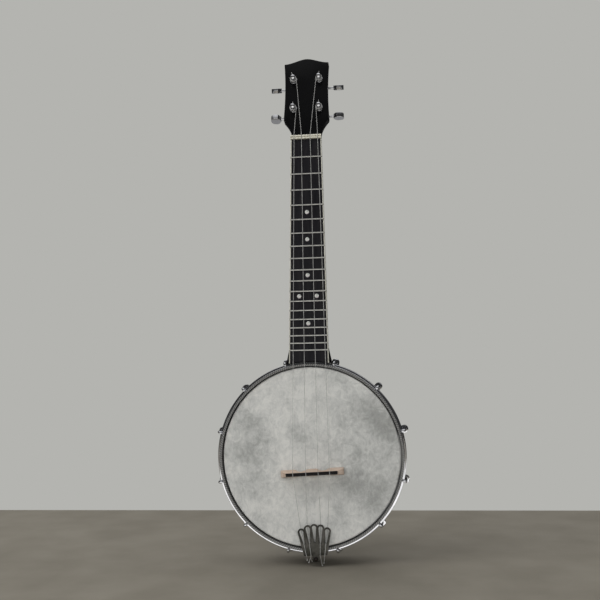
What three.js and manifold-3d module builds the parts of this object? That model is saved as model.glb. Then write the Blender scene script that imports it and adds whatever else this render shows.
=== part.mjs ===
// A concert banjo ukulele, upright on its tail, with its face towards -Y. Lengths are in millimetres.
// Each piece is built in the frame of what carries it: the pot, the neck, the headstock or a tuner.
// In all of these frames x runs to the right of the face, y up the neck and z out of the face.
import * as THREE from 'three';
import { mergeVertices } from 'three/addons/utils/BufferGeometryUtils.js';
import Module from 'manifold-3d';

const wasm = await Module();
wasm.setup();

// Gaps and overruns that all pieces share
const seatGap = 0.3;
const overrun = 4;
const roundSegments = 12;
const potSegments = 48;

// Pot: wooden rim, film and the two hoops that hold it
const rimOuterRadius = 98.5;
const rimWall = 10.5;
const rimHeight = 55;
const rimEdgeRound = 2.5;
const filmThickness = 0.5;
const collarClearance = 0.5;
const filmShoulder = 2;
const collarDepth = 14;
const fleshHoopWall = 3.2;
const fleshHoopHeight = 4.5;
const hoopSlack = 1.3;
const hoopWall = 2.8;
const hoopLip = 2;
const hoopLedgeDrop = 3.8;
const hoopLedgeWidth = 2.4;
const hoopEdgeRound = 0.7;

// Hooks and shoes
const hookCount = 12;
const hookRodRadius = 1.6;
const hookRunGap = 0.5;
const hookBendRadius = 2.4;
const hookClawGap = 0.4;
const hookTailLength = 5;
const hookNutRadius = 3.3;
const hookNutHeight = 4.5;
const shoeTopGap = 2.8;
const shoeWidth = 8.4;
const shoeBaseHeight = 16;
const shoeBaseThickness = 2.6;
const shoeArmHeight = 7;
const shoeFillet = 2.4;
const shoeScrewRadius = 1.9;
const shoeScrewHeadRadius = 3.9;
const shoeScrewHeadHeight = 2.6;
const screwClearance = 0.35;

// Rod across the pot and the bolt at its tail end
const rodRadius = 4.5;
const rodBelowFilm = 28.8;
const rodCollarRadius = 7;
const rodCollarLength = 6;
const rodStudRadius = 2.5;
const rodStudReach = 17;
const rodBoreDepth = 13;
const endBoltHeadRadius = 5;
const endBoltHeadHeight = 3.4;

// Neck, measured from a root line just inside the hoop's outer edge
const scaleLength = 380;
const bridgePlace = 16.26;
const neckRootInset = 1;
const neckPitch = THREE.MathUtils.degToRad(3.6);
const boardRise = 4;
const boardThickness = 4.7;
const boardHalfWidthAtNut = 16.5;
const boardHalfWidthAtRoot = 21.04;
const bindingWidth = 1.4;
const bindingDrop = 0.3;
const fretCount = 18;
const fretWidth = 1.8;
const fretHeight = 1;
const fretSink = 0.2;
const neckDepthAtNut = 19;
const neckDepthAtHeel = 22;
const heelDepth = 52;
const heelLength = 6;
const heelSweep = 34;
const heelFullness = 1.5;
const heelHookGap = 1;
const heelFlareLength = 12;
const heelBoreSpare = 2;

// Nut
const nutThickness = 5;
const nutHeight = 2.6;
const nutSlotLift = 0.4;

// Headstock, tilted back behind the nut
const headTilt = THREE.MathUtils.degToRad(8);
const headDrop = 2.5;
const headThickness = 10;
const headEdgeRound = 0.8;
const headShelfGap = 0.7;
const headStartHalfWidth = 17.3;
const headShoulderHalfWidth = 26.75;
const headShoulderPlace = 29;
const headCornerHalfWidth = 26.5;
const headCornerPlace = 100.7;
const headPeakRise = 5.9;
const throatLength = 24;
const throatDrop = 3;
const throatNarrowing = 3.5;

// Tuners
const tunerOffset = 15.2;
const tunerPlaces = [40.2, 78.1];
const postRadius = 2.8;
const postTopRadius = 3.1;
const postHoleRadius = 1.1;
const postRunGap = 0.35;
const postCapHeight = 2.2;
const postDomeHeight = 1;
const postHoleLand = 1.9;
const bushingFlangeWidth = 0.45;
const bushingFlangeHeight = 1.2;
const bushingSleeveWall = 1;
const bushingSleeveDepth = 4.5;
const tunerPlateThickness = 1;
const tunerPlateUpperReach = 11;
const tunerPlateLowerReach = 15;
const lugThickness = 1.5;
const lugHalfLength = 2.6;
const gearTeeth = 14;
const gearPitchRadius = 3.3;
const gearThickness = 3;
const wormPitchRadius = 1.7;
const wormHalfLength = 2.7;
const toothAddendum = 0.42;
const toothDedendum = 0.55;
const toothTipShare = 0.2;
const toothRootShare = 0.48;
const gearScrewRadius = 2;
const gearScrewHeight = 1.1;
const knobShaftRadius = 1.4;
const knobCollarRadius = 2;
const knobCollarLength = 1;
const knobShaftGap = 0.3;
const buttonGap = 4.65;
const buttonLength = 12;
const buttonHalfWidth = 6.5;
const buttonThickness = 5.6;
const buttonNeckHalfWidth = 2;
const buttonEdgeRound = 1.2;

// Bridge
const bridgeHeight = 16;
const bridgeLength = 70;
const bridgeTopLength = 58;
const bridgeFootThickness = 8;
const bridgeTopThickness = 3.6;
const bridgeEndHeight = 6;
const bridgeFootHeight = 3.4;
const bridgeArchPlace = 12.25;
const bridgeArchHalfWidth = 7.5;
const bridgeArchHeight = 9.6;
const bridgeCapHeight = 3.2;
const bridgeTurn = THREE.MathUtils.degToRad(2.8);
const bridgeSetback = 1;
const bridgeOffset = 1.6;
const bridgeSlotDepth = 0.5;

// Tailpiece
const tailOffset = 3.8;
const tailTurn = THREE.MathUtils.degToRad(2.6);
const tailRise = 4;
const tailThickness = 1.8;
const tailHoopGap = 1;
const tailLength = 34.1;
const tailBottomHalfWidth = 13;
const lobeCount = 5;
const lobeSegments = 16;
const lobePitch = 7.15;
const lobeRadius = 4.15;
const lobeArcRadius = 26;
const slotTopHalfWidth = 2.3;
const slotBottomHalfWidth = 0.85;
const slotFeet = [14, 14, 15.4, 14, 14];
const tongueHalfWidth = 3.8;
const tongueLength = 7;
const tailBoltReach = 3.9;
const tailBoltRadius = 1.5;
const tailBoltHeadRadius = 2.6;
const tailBoltHeadHeight = 2;
const hangerThickness = 1.4;
const hangerRunGap = 0.4;
const hangerFootDrop = 10;
const hangerBendDrop = 7;
const hangerEyeRadius = 6;

// Strings
const stringRadius = 0.4;
const stringSides = 5;
const nutStringPlaces = [-13.6, -5, 5.2, 13.9];
const bridgeStringPlaces = [-20.4, -6, 7.6, 20.2];
const tailKnotRadius = 0.75;
const tailKnotPlaces = [-10.3, -8.8, 6.3, 8.1];
const tailKnotReach = [5.8, 8.4, 12.4, 9.8];
const tailKnotDrop = 2.4;
const frontBarLead = 2;
const windingTurns = 2;
const windingSteps = 14;
const windingSpace = 0.5;
const windingStart = 0.6;
const stringTail = 4;

// Colours of the finishes
const blackLacquer = new THREE.MeshStandardMaterial({ color: 0x0b0a0c, roughness: 0.25, metalness: 0 });
const walnutStain = new THREE.MeshStandardMaterial({ color: 0x2a1610, roughness: 0.4, metalness: 0 });
const rosewood = new THREE.MeshStandardMaterial({ color: 0x17110f, roughness: 0.6, metalness: 0 });
const maple = new THREE.MeshStandardMaterial({ color: 0xb98a63, roughness: 0.55, metalness: 0 });
const ebony = new THREE.MeshStandardMaterial({ color: 0x0d0b0b, roughness: 0.4, metalness: 0 });
const ivoroid = new THREE.MeshStandardMaterial({ color: 0xe6dfc3, roughness: 0.45, metalness: 0 });
const film = new THREE.MeshStandardMaterial({ color: 0xc9c9bf, roughness: 0.7, metalness: 0 });
const chrome = new THREE.MeshStandardMaterial({ color: 0xc8cacd, roughness: 0.15, metalness: 1 });
const castNickel = new THREE.MeshStandardMaterial({ color: 0x6f6d68, roughness: 0.35, metalness: 1 });
const steel = new THREE.MeshStandardMaterial({ color: 0x8d9094, roughness: 0.4, metalness: 1 });
const nylon = new THREE.MeshStandardMaterial({ color: 0xdedcd2, roughness: 0.35, metalness: 0 });

// Places that follow from the sizes above
const rimInnerRadius = rimOuterRadius - rimWall;
const rimMidRadius = rimOuterRadius - rimWall / 2;
const filmRadius = rimOuterRadius + collarClearance + filmThickness;
const filmTop = rimHeight + seatGap + filmThickness;
const fleshHoopBottom = filmTop - collarDepth;
const fleshHoopRadius = filmRadius + seatGap + fleshHoopWall;
const shoeMidHeight = fleshHoopBottom - shoeTopGap - shoeBaseHeight / 2;
const hoopBottom = fleshHoopBottom + fleshHoopHeight + seatGap;
const hoopTop = filmTop + hoopLip;
const ledgeTop = hoopTop - hoopLedgeDrop;
const hoopInnerRadius = filmRadius + hoopSlack;
const hoopBandRadius = hoopInnerRadius + hoopWall;
const hoopOuterRadius = hoopBandRadius + hoopLedgeWidth;
const hookCircle = hoopOuterRadius + hookRunGap + hookRodRadius;
const neckRoot = hoopOuterRadius - neckRootInset;
const nutDistance = (scaleLength - bridgePlace - neckRoot) / Math.cos(neckPitch);
const boardTop = filmTop + boardRise;
const rodHeight = filmTop - rodBelowFilm;
const studBoreRadius = rodStudRadius + screwClearance;
const tailUnderside = filmTop + tailRise;
const tailBottom = hoopOuterRadius + tailHoopGap;
const tailTop = tailBottom - tailLength;
const tongueEnd = tailBottom + tongueLength;
const tailBoltPlace = tailBottom + tailBoltReach;
const gearPitch = 2 * Math.PI * gearPitchRadius / gearTeeth;
const tunerPlateBack = -(headThickness + seatGap + tunerPlateThickness);
const wormHeight = tunerPlateBack - seatGap - gearThickness / 2;
const wormOffset = gearPitchRadius + wormPitchRadius;
const buttonStart = headShoulderHalfWidth - tunerOffset + buttonGap;
const lugFace = wormHalfLength + seatGap + lugThickness;
const windingRadius = postRadius + seatGap + stringRadius;
const windingPitch = 2 * stringRadius + windingSpace;
const windingFoot = seatGap + bushingFlangeHeight + windingStart + stringRadius;

// The frames: each group stands in the one that carries it
const instrument = new THREE.Group();
const pot = new THREE.Group();
pot.position.set(0, 0, rimMidRadius);
pot.rotation.x = Math.PI / 2;
instrument.add(pot);

const neckFrame = new THREE.Group();
neckFrame.position.set(0, neckRoot, boardTop);
neckFrame.rotation.x = -neckPitch;
pot.add(neckFrame);

const headFrame = new THREE.Group();
headFrame.position.set(0, nutDistance, -headDrop);
headFrame.rotation.x = -headTilt;
neckFrame.add(headFrame);

const bridgeFrame = new THREE.Group();
bridgeFrame.position.set(bridgeOffset, -bridgePlace - bridgeSetback, filmTop + seatGap);
bridgeFrame.rotation.z = bridgeTurn;
pot.add(bridgeFrame);

const tailHinge = new THREE.Group();
tailHinge.position.set(tailOffset, -tailBoltPlace, tailUnderside);
tailHinge.rotation.z = tailTurn;
pot.add(tailHinge);
const tailFrame = new THREE.Group();
tailFrame.position.set(0, tailBoltPlace, 0);
tailHinge.add(tailFrame);

// Left tuners have side -1 and right tuners side 1. Strings 1 to 4 run from left to right across the neck,
// the two outer strings to the lower posts.
const tuners = [
  { number: 1, side: -1, place: tunerPlaces[0], buttonTurn: 0.08 },
  { number: 2, side: -1, place: tunerPlaces[1], buttonTurn: -0.5 },
  { number: 3, side: 1, place: tunerPlaces[1], buttonTurn: 0.5 },
  { number: 4, side: 1, place: tunerPlaces[0], buttonTurn: 0.15 },
];
for (const tuner of tuners) {
  tuner.frame = new THREE.Group();
  tuner.frame.position.set(tuner.side * tunerOffset, tuner.place, 0);
  headFrame.add(tuner.frame);
}
instrument.updateMatrixWorld(true);

// A closed solid from any closed geometry: only positions count, and flat triangles drop out
function solid(geometry) {
  const bare = geometry.clone();
  for (const attribute of Object.keys(bare.attributes)) {
    if (attribute !== 'position') bare.deleteAttribute(attribute);
  }
  const merged = mergeVertices(bare);
  const corners = merged.index.array;
  const triangles = [];
  for (let i = 0; i < corners.length; i += 3) {
    const [a, b, c] = corners.slice(i, i + 3);
    if (a !== b && b !== c && c !== a) triangles.push(a, b, c);
  }
  return new wasm.Manifold(new wasm.Mesh({
    numProp: 3,
    vertProperties: new Float32Array(merged.attributes.position.array),
    triVerts: new Uint32Array(triangles),
  }));
}

// Names a finished solid and hangs it in its frame
function addPiece(frame, name, shape, material) {
  const mesh = shape.getMesh();
  const geometry = new THREE.BufferGeometry();
  geometry.setAttribute('position', new THREE.BufferAttribute(mesh.vertProperties, 3));
  geometry.setIndex(new THREE.BufferAttribute(mesh.triVerts, 1));
  geometry.computeVertexNormals();
  const piece = new THREE.Mesh(geometry, material);
  piece.name = name;
  frame.add(piece);
  return piece;
}

// Places a geometry that was built in one frame into another frame
function moved(geometry, fromFrame, toFrame) {
  const matrix = toFrame.matrixWorld.clone().invert().multiply(fromFrame.matrixWorld);
  return geometry.applyMatrix4(matrix);
}

function pointIn(frame, fromFrame, point) {
  return frame.worldToLocal(fromFrame.localToWorld(point.clone()));
}

// A solid of revolution about z from [radius, height] pairs
function turned(profile, segments = roundSegments) {
  const points = profile.map(([radius, height]) => new THREE.Vector2(radius, height));
  return new THREE.LatheGeometry(points, segments).rotateX(Math.PI / 2);
}

function ring(profile, segments = potSegments) {
  return turned([...profile, profile[0]], segments);
}

// A round or hexagonal bar along z between two heights
function bar(radius, low, high, sides = roundSegments) {
  return turned([[0, low], [radius, low], [radius, high], [0, high]], sides);
}

function alongY(geometry) {
  return geometry.rotateX(-Math.PI / 2);
}

function alongX(geometry, side = 1) {
  return geometry.rotateY(side * Math.PI / 2);
}

// A flat outline extruded from height low by its thickness
function slab(shape, low, thickness, curveSegments = 4) {
  const options = { depth: thickness, bevelEnabled: false, curveSegments };
  return new THREE.ExtrudeGeometry(shape, options).translate(0, 0, low);
}

// A profile drawn in the frame's y and z, extruded evenly to both sides along x
function sideProfile(shape, width, curveSegments = 3) {
  const geometry = slab(shape, -width / 2, width, curveSegments);
  const turn = new THREE.Matrix4().makeBasis(
    new THREE.Vector3(0, 1, 0), new THREE.Vector3(0, 0, 1), new THREE.Vector3(1, 0, 0));
  return geometry.applyMatrix4(turn);
}

function box(size, centre) {
  return new THREE.BoxGeometry(...size).translate(...centre);
}

function polygon(points) {
  return new THREE.Shape(points.map(([x, y]) => new THREE.Vector2(x, y)));
}

// Joins rings of equally many points into one closed skin, with a fan over each end
function loft(rings) {
  const sides = rings[0].length;
  const centres = [rings[0], rings[rings.length - 1]].map((points) =>
    points.reduce((sum, point) => sum.add(point), new THREE.Vector3()).divideScalar(sides));
  const points = [...rings.flat(), ...centres];
  const triangles = [];
  for (let row = 0; row + 1 < rings.length; row++) {
    for (let k = 0; k < sides; k++) {
      const a = row * sides + k;
      const b = row * sides + (k + 1) % sides;
      triangles.push(a, b, b + sides, a, b + sides, a + sides);
    }
  }
  const firstCentre = points.length - 2;
  const lastRow = (rings.length - 1) * sides;
  for (let k = 0; k < sides; k++) {
    const next = (k + 1) % sides;
    triangles.push(firstCentre, next, k, firstCentre + 1, lastRow + k, lastRow + next);
  }
  const geometry = new THREE.BufferGeometry().setFromPoints(points);
  geometry.setIndex(triangles);
  return geometry;
}

// A tube along points, with its sides carried on from ring to ring without twist
function tube(points, radiusAt, sides) {
  const tangents = points.map((point, i) => {
    const before = points[Math.max(i - 1, 0)];
    const after = points[Math.min(i + 1, points.length - 1)];
    return after.clone().sub(before).normalize();
  });
  const normal = new THREE.Vector3(1, 0, 0);
  const rings = points.map((point, i) => {
    normal.addScaledVector(tangents[i], -normal.dot(tangents[i])).normalize();
    const across = tangents[i].clone().cross(normal);
    return Array.from({ length: sides }, (_, k) => {
      const turn = 2 * Math.PI * k / sides;
      return point.clone()
        .addScaledVector(normal, radiusAt(i) * Math.cos(turn))
        .addScaledVector(across, radiusAt(i) * Math.sin(turn));
    });
  });
  return loft(rings);
}

// Pot

// The space that rim, hoops and their clearance take up, for cutting the heel and the fretboard's end
function potEnvelope() {
  const hoopReach = hoopOuterRadius + seatGap;
  const rimReach = rimOuterRadius + seatGap;
  const step = fleshHoopBottom - seatGap;
  return turned([
    [0, -overrun],
    [rimReach, -overrun],
    [rimReach, step],
    [hoopReach, step],
    [hoopReach, hoopTop + rimHeight],
    [0, hoopTop + rimHeight],
  ], potSegments);
}

function hookAngle(i) {
  return 2 * Math.PI * (i + 0.5) / hookCount;
}

function makeRim() {
  let rim = solid(ring([
    [rimInnerRadius, 0],
    [rimOuterRadius, 0],
    [rimOuterRadius, rimHeight - rimEdgeRound / 2],
    [rimOuterRadius - rimEdgeRound / 2, rimHeight],
    [rimOuterRadius - rimWall / 2, rimHeight],
    [rimInnerRadius, rimHeight - rimEdgeRound],
  ]));
  const screwHole = shoeScrewRadius + screwClearance;
  for (let i = 0; i < hookCount; i++) {
    const hole = alongY(bar(screwHole, rimInnerRadius - overrun, rimOuterRadius + overrun, 6))
      .translate(0, 0, shoeMidHeight)
      .rotateZ(-hookAngle(i));
    rim = rim.subtract(solid(hole));
  }
  const rodHole = alongY(bar(studBoreRadius, -rimOuterRadius - overrun, rimOuterRadius + overrun))
    .translate(0, 0, rodHeight);
  return rim.subtract(solid(rodHole));
}

function makeHeadFilm() {
  const shoulder = (radius, bend) => [1, 0.5, 0].map((share) => {
    const turn = share * Math.PI / 2;
    return [radius - bend + bend * Math.cos(turn), filmTop - filmShoulder + bend * Math.sin(turn)];
  });
  const inner = shoulder(filmRadius - filmThickness, filmShoulder - filmThickness);
  return solid(turned([
    [0, filmTop - filmThickness],
    ...inner,
    [filmRadius - filmThickness, fleshHoopBottom],
    [filmRadius, fleshHoopBottom],
    ...shoulder(filmRadius, filmShoulder).reverse(),
    [0, filmTop],
  ], potSegments));
}

function makeFleshHoop() {
  const inner = filmRadius + seatGap;
  return solid(ring([
    [inner, fleshHoopBottom],
    [fleshHoopRadius, fleshHoopBottom],
    [fleshHoopRadius, fleshHoopBottom + fleshHoopHeight],
    [inner, fleshHoopBottom + fleshHoopHeight],
  ]));
}

function makeTensionHoop() {
  return solid(ring([
    [hoopInnerRadius, hoopBottom],
    [hoopOuterRadius, hoopBottom],
    [hoopOuterRadius, ledgeTop - hoopEdgeRound],
    [hoopOuterRadius - hoopEdgeRound, ledgeTop],
    [hoopBandRadius, ledgeTop],
    [hoopBandRadius, hoopTop - hoopEdgeRound],
    [hoopBandRadius - hoopEdgeRound, hoopTop],
    [hoopInnerRadius + hoopEdgeRound, hoopTop],
    [hoopInnerRadius, hoopTop - hoopEdgeRound],
  ]));
}

// A J-bolt: a claw over the hoop's ledge, a bend, and a rod down through its shoe to the nut
function makeHook() {
  const clawHeight = ledgeTop + seatGap + hookRodRadius;
  const clawTip = hoopBandRadius + hookClawGap;
  const nutTop = shoeMidHeight - shoeArmHeight / 2 - seatGap;
  const rodEnd = nutTop - hookNutHeight - hookTailLength;
  const bendSteps = 4;
  const points = [new THREE.Vector3(0, hookCircle, rodEnd)];
  for (let i = 0; i <= bendSteps; i++) {
    const turn = i / bendSteps * Math.PI / 2;
    const radial = hookCircle - hookBendRadius + hookBendRadius * Math.cos(turn);
    const height = clawHeight - hookBendRadius + hookBendRadius * Math.sin(turn);
    points.push(new THREE.Vector3(0, radial, height));
  }
  points.push(new THREE.Vector3(0, clawTip, clawHeight));
  const rod = solid(tube(points, () => hookRodRadius, 6));
  const nut = bar(hookNutRadius, nutTop - hookNutHeight, nutTop, 6).translate(0, hookCircle, 0);
  return rod.add(solid(nut));
}

// A bracket on the rim's outside: base, arm with a round nose and the hook's hole, and the screw that
// holds it through the rim
function makeShoe() {
  const seat = rimOuterRadius + seatGap;
  const face = seat + shoeBaseThickness;
  const nose = hookCircle + shoeWidth / 2;
  const halfBase = shoeBaseHeight / 2;
  const halfArm = shoeArmHeight / 2;
  const side = polygon([
    [seat, shoeMidHeight - halfBase],
    [face, shoeMidHeight - halfBase],
    [face + shoeFillet, shoeMidHeight - halfArm],
    [nose, shoeMidHeight - halfArm],
    [nose, shoeMidHeight + halfArm],
    [face + shoeFillet, shoeMidHeight + halfArm],
    [face, shoeMidHeight + halfBase],
    [seat, shoeMidHeight + halfBase],
  ]);
  const plan = new THREE.Shape();
  plan.moveTo(shoeWidth / 2, seat - overrun);
  plan.absarc(0, hookCircle, shoeWidth / 2, 0, Math.PI, false);
  plan.lineTo(-shoeWidth / 2, seat - overrun);
  const body = solid(sideProfile(side, shoeWidth + overrun))
    .intersect(solid(slab(plan, shoeMidHeight - shoeBaseHeight, 2 * shoeBaseHeight, 3)));
  const holeRadius = hookRodRadius + screwClearance;
  const hole = bar(holeRadius, shoeMidHeight - shoeArmHeight, shoeMidHeight + shoeArmHeight, 6)
    .translate(0, hookCircle, 0);
  const headFace = rimInnerRadius - 2 * seatGap;
  const shank = alongY(bar(shoeScrewRadius, headFace - seatGap, seat + seatGap, 6))
    .translate(0, 0, shoeMidHeight);
  const head = alongY(bar(shoeScrewHeadRadius, headFace - shoeScrewHeadHeight, headFace, 6))
    .translate(0, 0, shoeMidHeight);
  return body.subtract(solid(hole)).add(solid(shank)).add(solid(head));
}

// The rod runs from wall to wall inside the rim. Its stud goes through the rim into the heel, and its tail
// end has a bore for the end bolt.
function makeCoordinatorRod() {
  const wall = rimInnerRadius - 2 * seatGap;
  const studEnd = rimOuterRadius + rodStudReach;
  let rod = solid(bar(rodRadius, -wall, wall));
  rod = rod.add(solid(bar(rodCollarRadius, wall - rodCollarLength, wall, 6)));
  rod = rod.add(solid(bar(rodCollarRadius, -wall, rodCollarLength - wall, 6)));
  rod = rod.add(solid(bar(rodStudRadius, wall - overrun, studEnd)));
  rod = rod.subtract(solid(bar(studBoreRadius, -wall - overrun, rodBoreDepth - wall)));
  return solidInPot(rod);
}

function makeEndBolt() {
  const strapFace = -(rimOuterRadius + hangerRunGap + hangerThickness + seatGap);
  const shankEnd = rodBoreDepth - seatGap - rimInnerRadius;
  const shank = solid(bar(rodStudRadius, strapFace - seatGap, shankEnd));
  const head = solid(bar(endBoltHeadRadius, strapFace - endBoltHeadHeight, strapFace, 6));
  return solidInPot(shank.add(head));
}

// Lays a solid that was built along z along the pot's y axis, at the rod's height
function solidInPot(shape) {
  return shape.rotate([-90, 0, 0]).translate([0, 0, rodHeight]);
}

// Neck

function boardHalfWidth(along) {
  return boardHalfWidthAtRoot + (boardHalfWidthAtNut - boardHalfWidthAtRoot) * along / nutDistance;
}

function neckHalfWidth(along) {
  return boardHalfWidth(along) + bindingWidth;
}

// One cross-section of the neck: a flat top and a back that is an ellipse where fullness is 1 and more
// pointed where it is larger
function neckSection(along, halfWidth, depth, { fullness = 1, drop = 0 } = {}) {
  const top = -(boardThickness + seatGap + drop);
  const steps = 10;
  return Array.from({ length: steps + 1 }, (_, i) => {
    const turn = i / steps * Math.PI;
    const across = Math.sign(Math.cos(turn)) * Math.abs(Math.cos(turn)) ** fullness;
    const down = Math.sin(turn) ** fullness;
    return new THREE.Vector3(halfWidth * across, along, top - (depth + top) * down);
  });
}

// The neck runs from the heel, which is deep and more pointed, through the shaft to a round tongue that
// dies away under the headstock
function makeNeck() {
  const heelHalfWidth = hookCircle * Math.sin(hookAngle(0)) - hookRodRadius - heelHookGap;
  const heelFlare = heelHalfWidth - neckHalfWidth(0);
  const flare = (along) => heelFlare * Math.min(1, Math.max(0, 1 - along / heelFlareLength) ** 1.3);
  const rootPlaces = [-2 * overrun, 0, heelLength / 2];
  const rootSections = rootPlaces.map((along) =>
    neckSection(along, neckHalfWidth(along) + flare(along), heelDepth, { fullness: heelFullness }));
  const heelShares = [0, 0.07, 0.2, 0.4, 0.65, 1];
  const heelSections = heelShares.map((share) => {
    const along = heelLength + heelSweep * share;
    const depth = neckDepthAtHeel + (heelDepth - neckDepthAtHeel) * (1 - share) ** 2.4;
    const fullness = 1 + (heelFullness - 1) * (1 - share);
    return neckSection(along, neckHalfWidth(along) + flare(along), depth, { fullness });
  });
  const sweepEnd = heelLength + heelSweep;
  const shaftSections = [0.5, 1].map((share) => {
    const along = sweepEnd + (nutDistance - sweepEnd) * share;
    const depth = neckDepthAtHeel + (neckDepthAtNut - neckDepthAtHeel) * share;
    return neckSection(along, neckHalfWidth(along), depth);
  });
  const headBack = headDrop + headThickness;
  const throatSections = [0, 0.35, 0.7, 1].map((share) => {
    const along = nutDistance + nutThickness + throatLength * share;
    const depth = headBack + (neckDepthAtNut - headBack) * (1 - share);
    const halfWidth = headStartHalfWidth - throatNarrowing * share;
    return neckSection(along, halfWidth, depth, { drop: throatDrop * share });
  });
  const shaft = solid(loft([...rootSections, ...heelSections, ...shaftSections, ...throatSections]));

  let neck = shaft.add(solid(moved(headstockBlock(), headFrame, neckFrame)));
  neck = neck.subtract(solid(moved(potEnvelope(), pot, neckFrame)));
  const stud = alongY(bar(studBoreRadius, 0, rimOuterRadius + rodStudReach + heelBoreSpare)).translate(0, 0, rodHeight);
  neck = neck.subtract(solid(moved(stud, pot, neckFrame)));
  for (const tuner of tuners) {
    neck = neck.subtract(solid(moved(tunerHole(), tuner.frame, neckFrame)));
  }
  return neck;
}

// The headstock's outline: a concave throat from the nut to the shoulder, a waist up to the corner, and an
// ogee to the peak
function headstockOutline() {
  const start = nutThickness + headShelfGap;
  const throat = headShoulderPlace - start;
  const swell = headShoulderHalfWidth - headStartHalfWidth;
  const waist = headCornerPlace - headShoulderPlace;
  const shape = new THREE.Shape();
  shape.moveTo(headStartHalfWidth, start);
  const right = [
    ['bezierCurveTo',
      headStartHalfWidth, start + 0.26 * throat,
      headStartHalfWidth + 0.29 * swell, start + 0.54 * throat,
      headStartHalfWidth + 0.94 * swell, start + 0.85 * throat],
    ['quadraticCurveTo',
      headShoulderHalfWidth, start + 0.9 * throat,
      headShoulderHalfWidth, headShoulderPlace],
    ['bezierCurveTo',
      headShoulderHalfWidth - 0.12 * swell, headShoulderPlace + 0.18 * waist,
      headShoulderHalfWidth - 0.27 * swell, headShoulderPlace + 0.57 * waist,
      headCornerHalfWidth, headCornerPlace],
    ['bezierCurveTo',
      headCornerHalfWidth * 0.64, headCornerPlace,
      headCornerHalfWidth * 0.3, headCornerPlace + headPeakRise,
      0, headCornerPlace + headPeakRise],
  ];
  for (const [curve, ...places] of right) shape[curve](...places);
  const half = shape.getPoints(5);
  const mirrored = half.slice(0, -1).reverse().map((point) => new THREE.Vector2(-point.x, point.y));
  return new THREE.Shape([...half, ...mirrored]);
}

function headstockBlock() {
  const options = {
    depth: headThickness - 2 * headEdgeRound,
    bevelThickness: headEdgeRound,
    bevelSize: headEdgeRound,
    bevelOffset: -headEdgeRound,
    bevelSegments: 1,
    curveSegments: 1,
  };
  const block = new THREE.ExtrudeGeometry(headstockOutline(), options);
  return block.translate(0, 0, headEdgeRound - headThickness);
}

// The stepped hole in the headstock: wide for the bushing's sleeve, narrow for the post
function tunerHole() {
  const sleeve = postRadius + postRunGap + bushingSleeveWall + seatGap;
  const sleeveEnd = -(bushingSleeveDepth + seatGap);
  const post = postRadius + postRunGap;
  return turned([
    [0, -headThickness - overrun],
    [post, -headThickness - overrun],
    [post, sleeveEnd],
    [sleeve, sleeveEnd],
    [sleeve, overrun],
    [0, overrun],
  ]);
}

function fretPlace(number) {
  return nutDistance - scaleLength * (1 - 2 ** (-number / 12));
}

// The board reaches past the last fret to the hoop, whose curve its end follows
function makeFretboard() {
  const end = -2 * overrun;
  const nutEnd = nutDistance - seatGap;
  const outline = polygon([
    [-boardHalfWidth(end), end],
    [boardHalfWidth(end), end],
    [boardHalfWidth(nutEnd), nutEnd],
    [-boardHalfWidth(nutEnd), nutEnd],
  ]);
  let board = solid(slab(outline, -boardThickness, boardThickness));
  for (let number = 1; number <= fretCount; number++) {
    const halfLength = neckHalfWidth(fretPlace(number));
    const crown = polygon([
      [-fretWidth / 2, -fretSink],
      [fretWidth / 2, -fretSink],
      [fretWidth / 4, fretHeight],
      [-fretWidth / 4, fretHeight],
    ]);
    const fret = sideProfile(crown, 2 * halfLength).translate(0, fretPlace(number), 0);
    board = board.add(solid(fret));
  }
  return board.subtract(solid(moved(potEnvelope(), pot, neckFrame)));
}

function makeBinding(side) {
  const end = -2 * overrun;
  const nutEnd = nutDistance - seatGap;
  const corners = [
    [side * (boardHalfWidth(end) + seatGap), end],
    [side * neckHalfWidth(end), end],
    [side * neckHalfWidth(nutEnd), nutEnd],
    [side * (boardHalfWidth(nutEnd) + seatGap), nutEnd],
  ];
  const outline = polygon(corners);
  const strip = solid(slab(outline, -boardThickness, boardThickness - bindingDrop));
  return strip.subtract(solid(moved(potEnvelope(), pot, neckFrame)));
}

function makeNut() {
  const low = -boardThickness;
  const slotFloor = fretHeight + nutSlotLift;
  const profile = polygon([
    [0, low],
    [nutThickness, low],
    [nutThickness, nutHeight - nutThickness / 4],
    [nutThickness * 0.6, nutHeight],
    [nutThickness * 0.15, nutHeight],
    [0, nutHeight - nutThickness / 8],
  ]);
  let nut = solid(sideProfile(profile, 2 * neckHalfWidth(nutDistance)));
  const slotWidth = 2 * (stringRadius + seatGap);
  for (const place of nutStringPlaces) {
    const size = [slotWidth, 2 * nutThickness, nutHeight];
    nut = nut.subtract(solid(box(size, [place, nutThickness / 2, slotFloor + nutHeight / 2])));
  }
  return nut.translate([0, nutDistance, 0]);
}

// Bridge: a maple base with three feet and two arches, thinner at the top, and a dark cap

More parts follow.
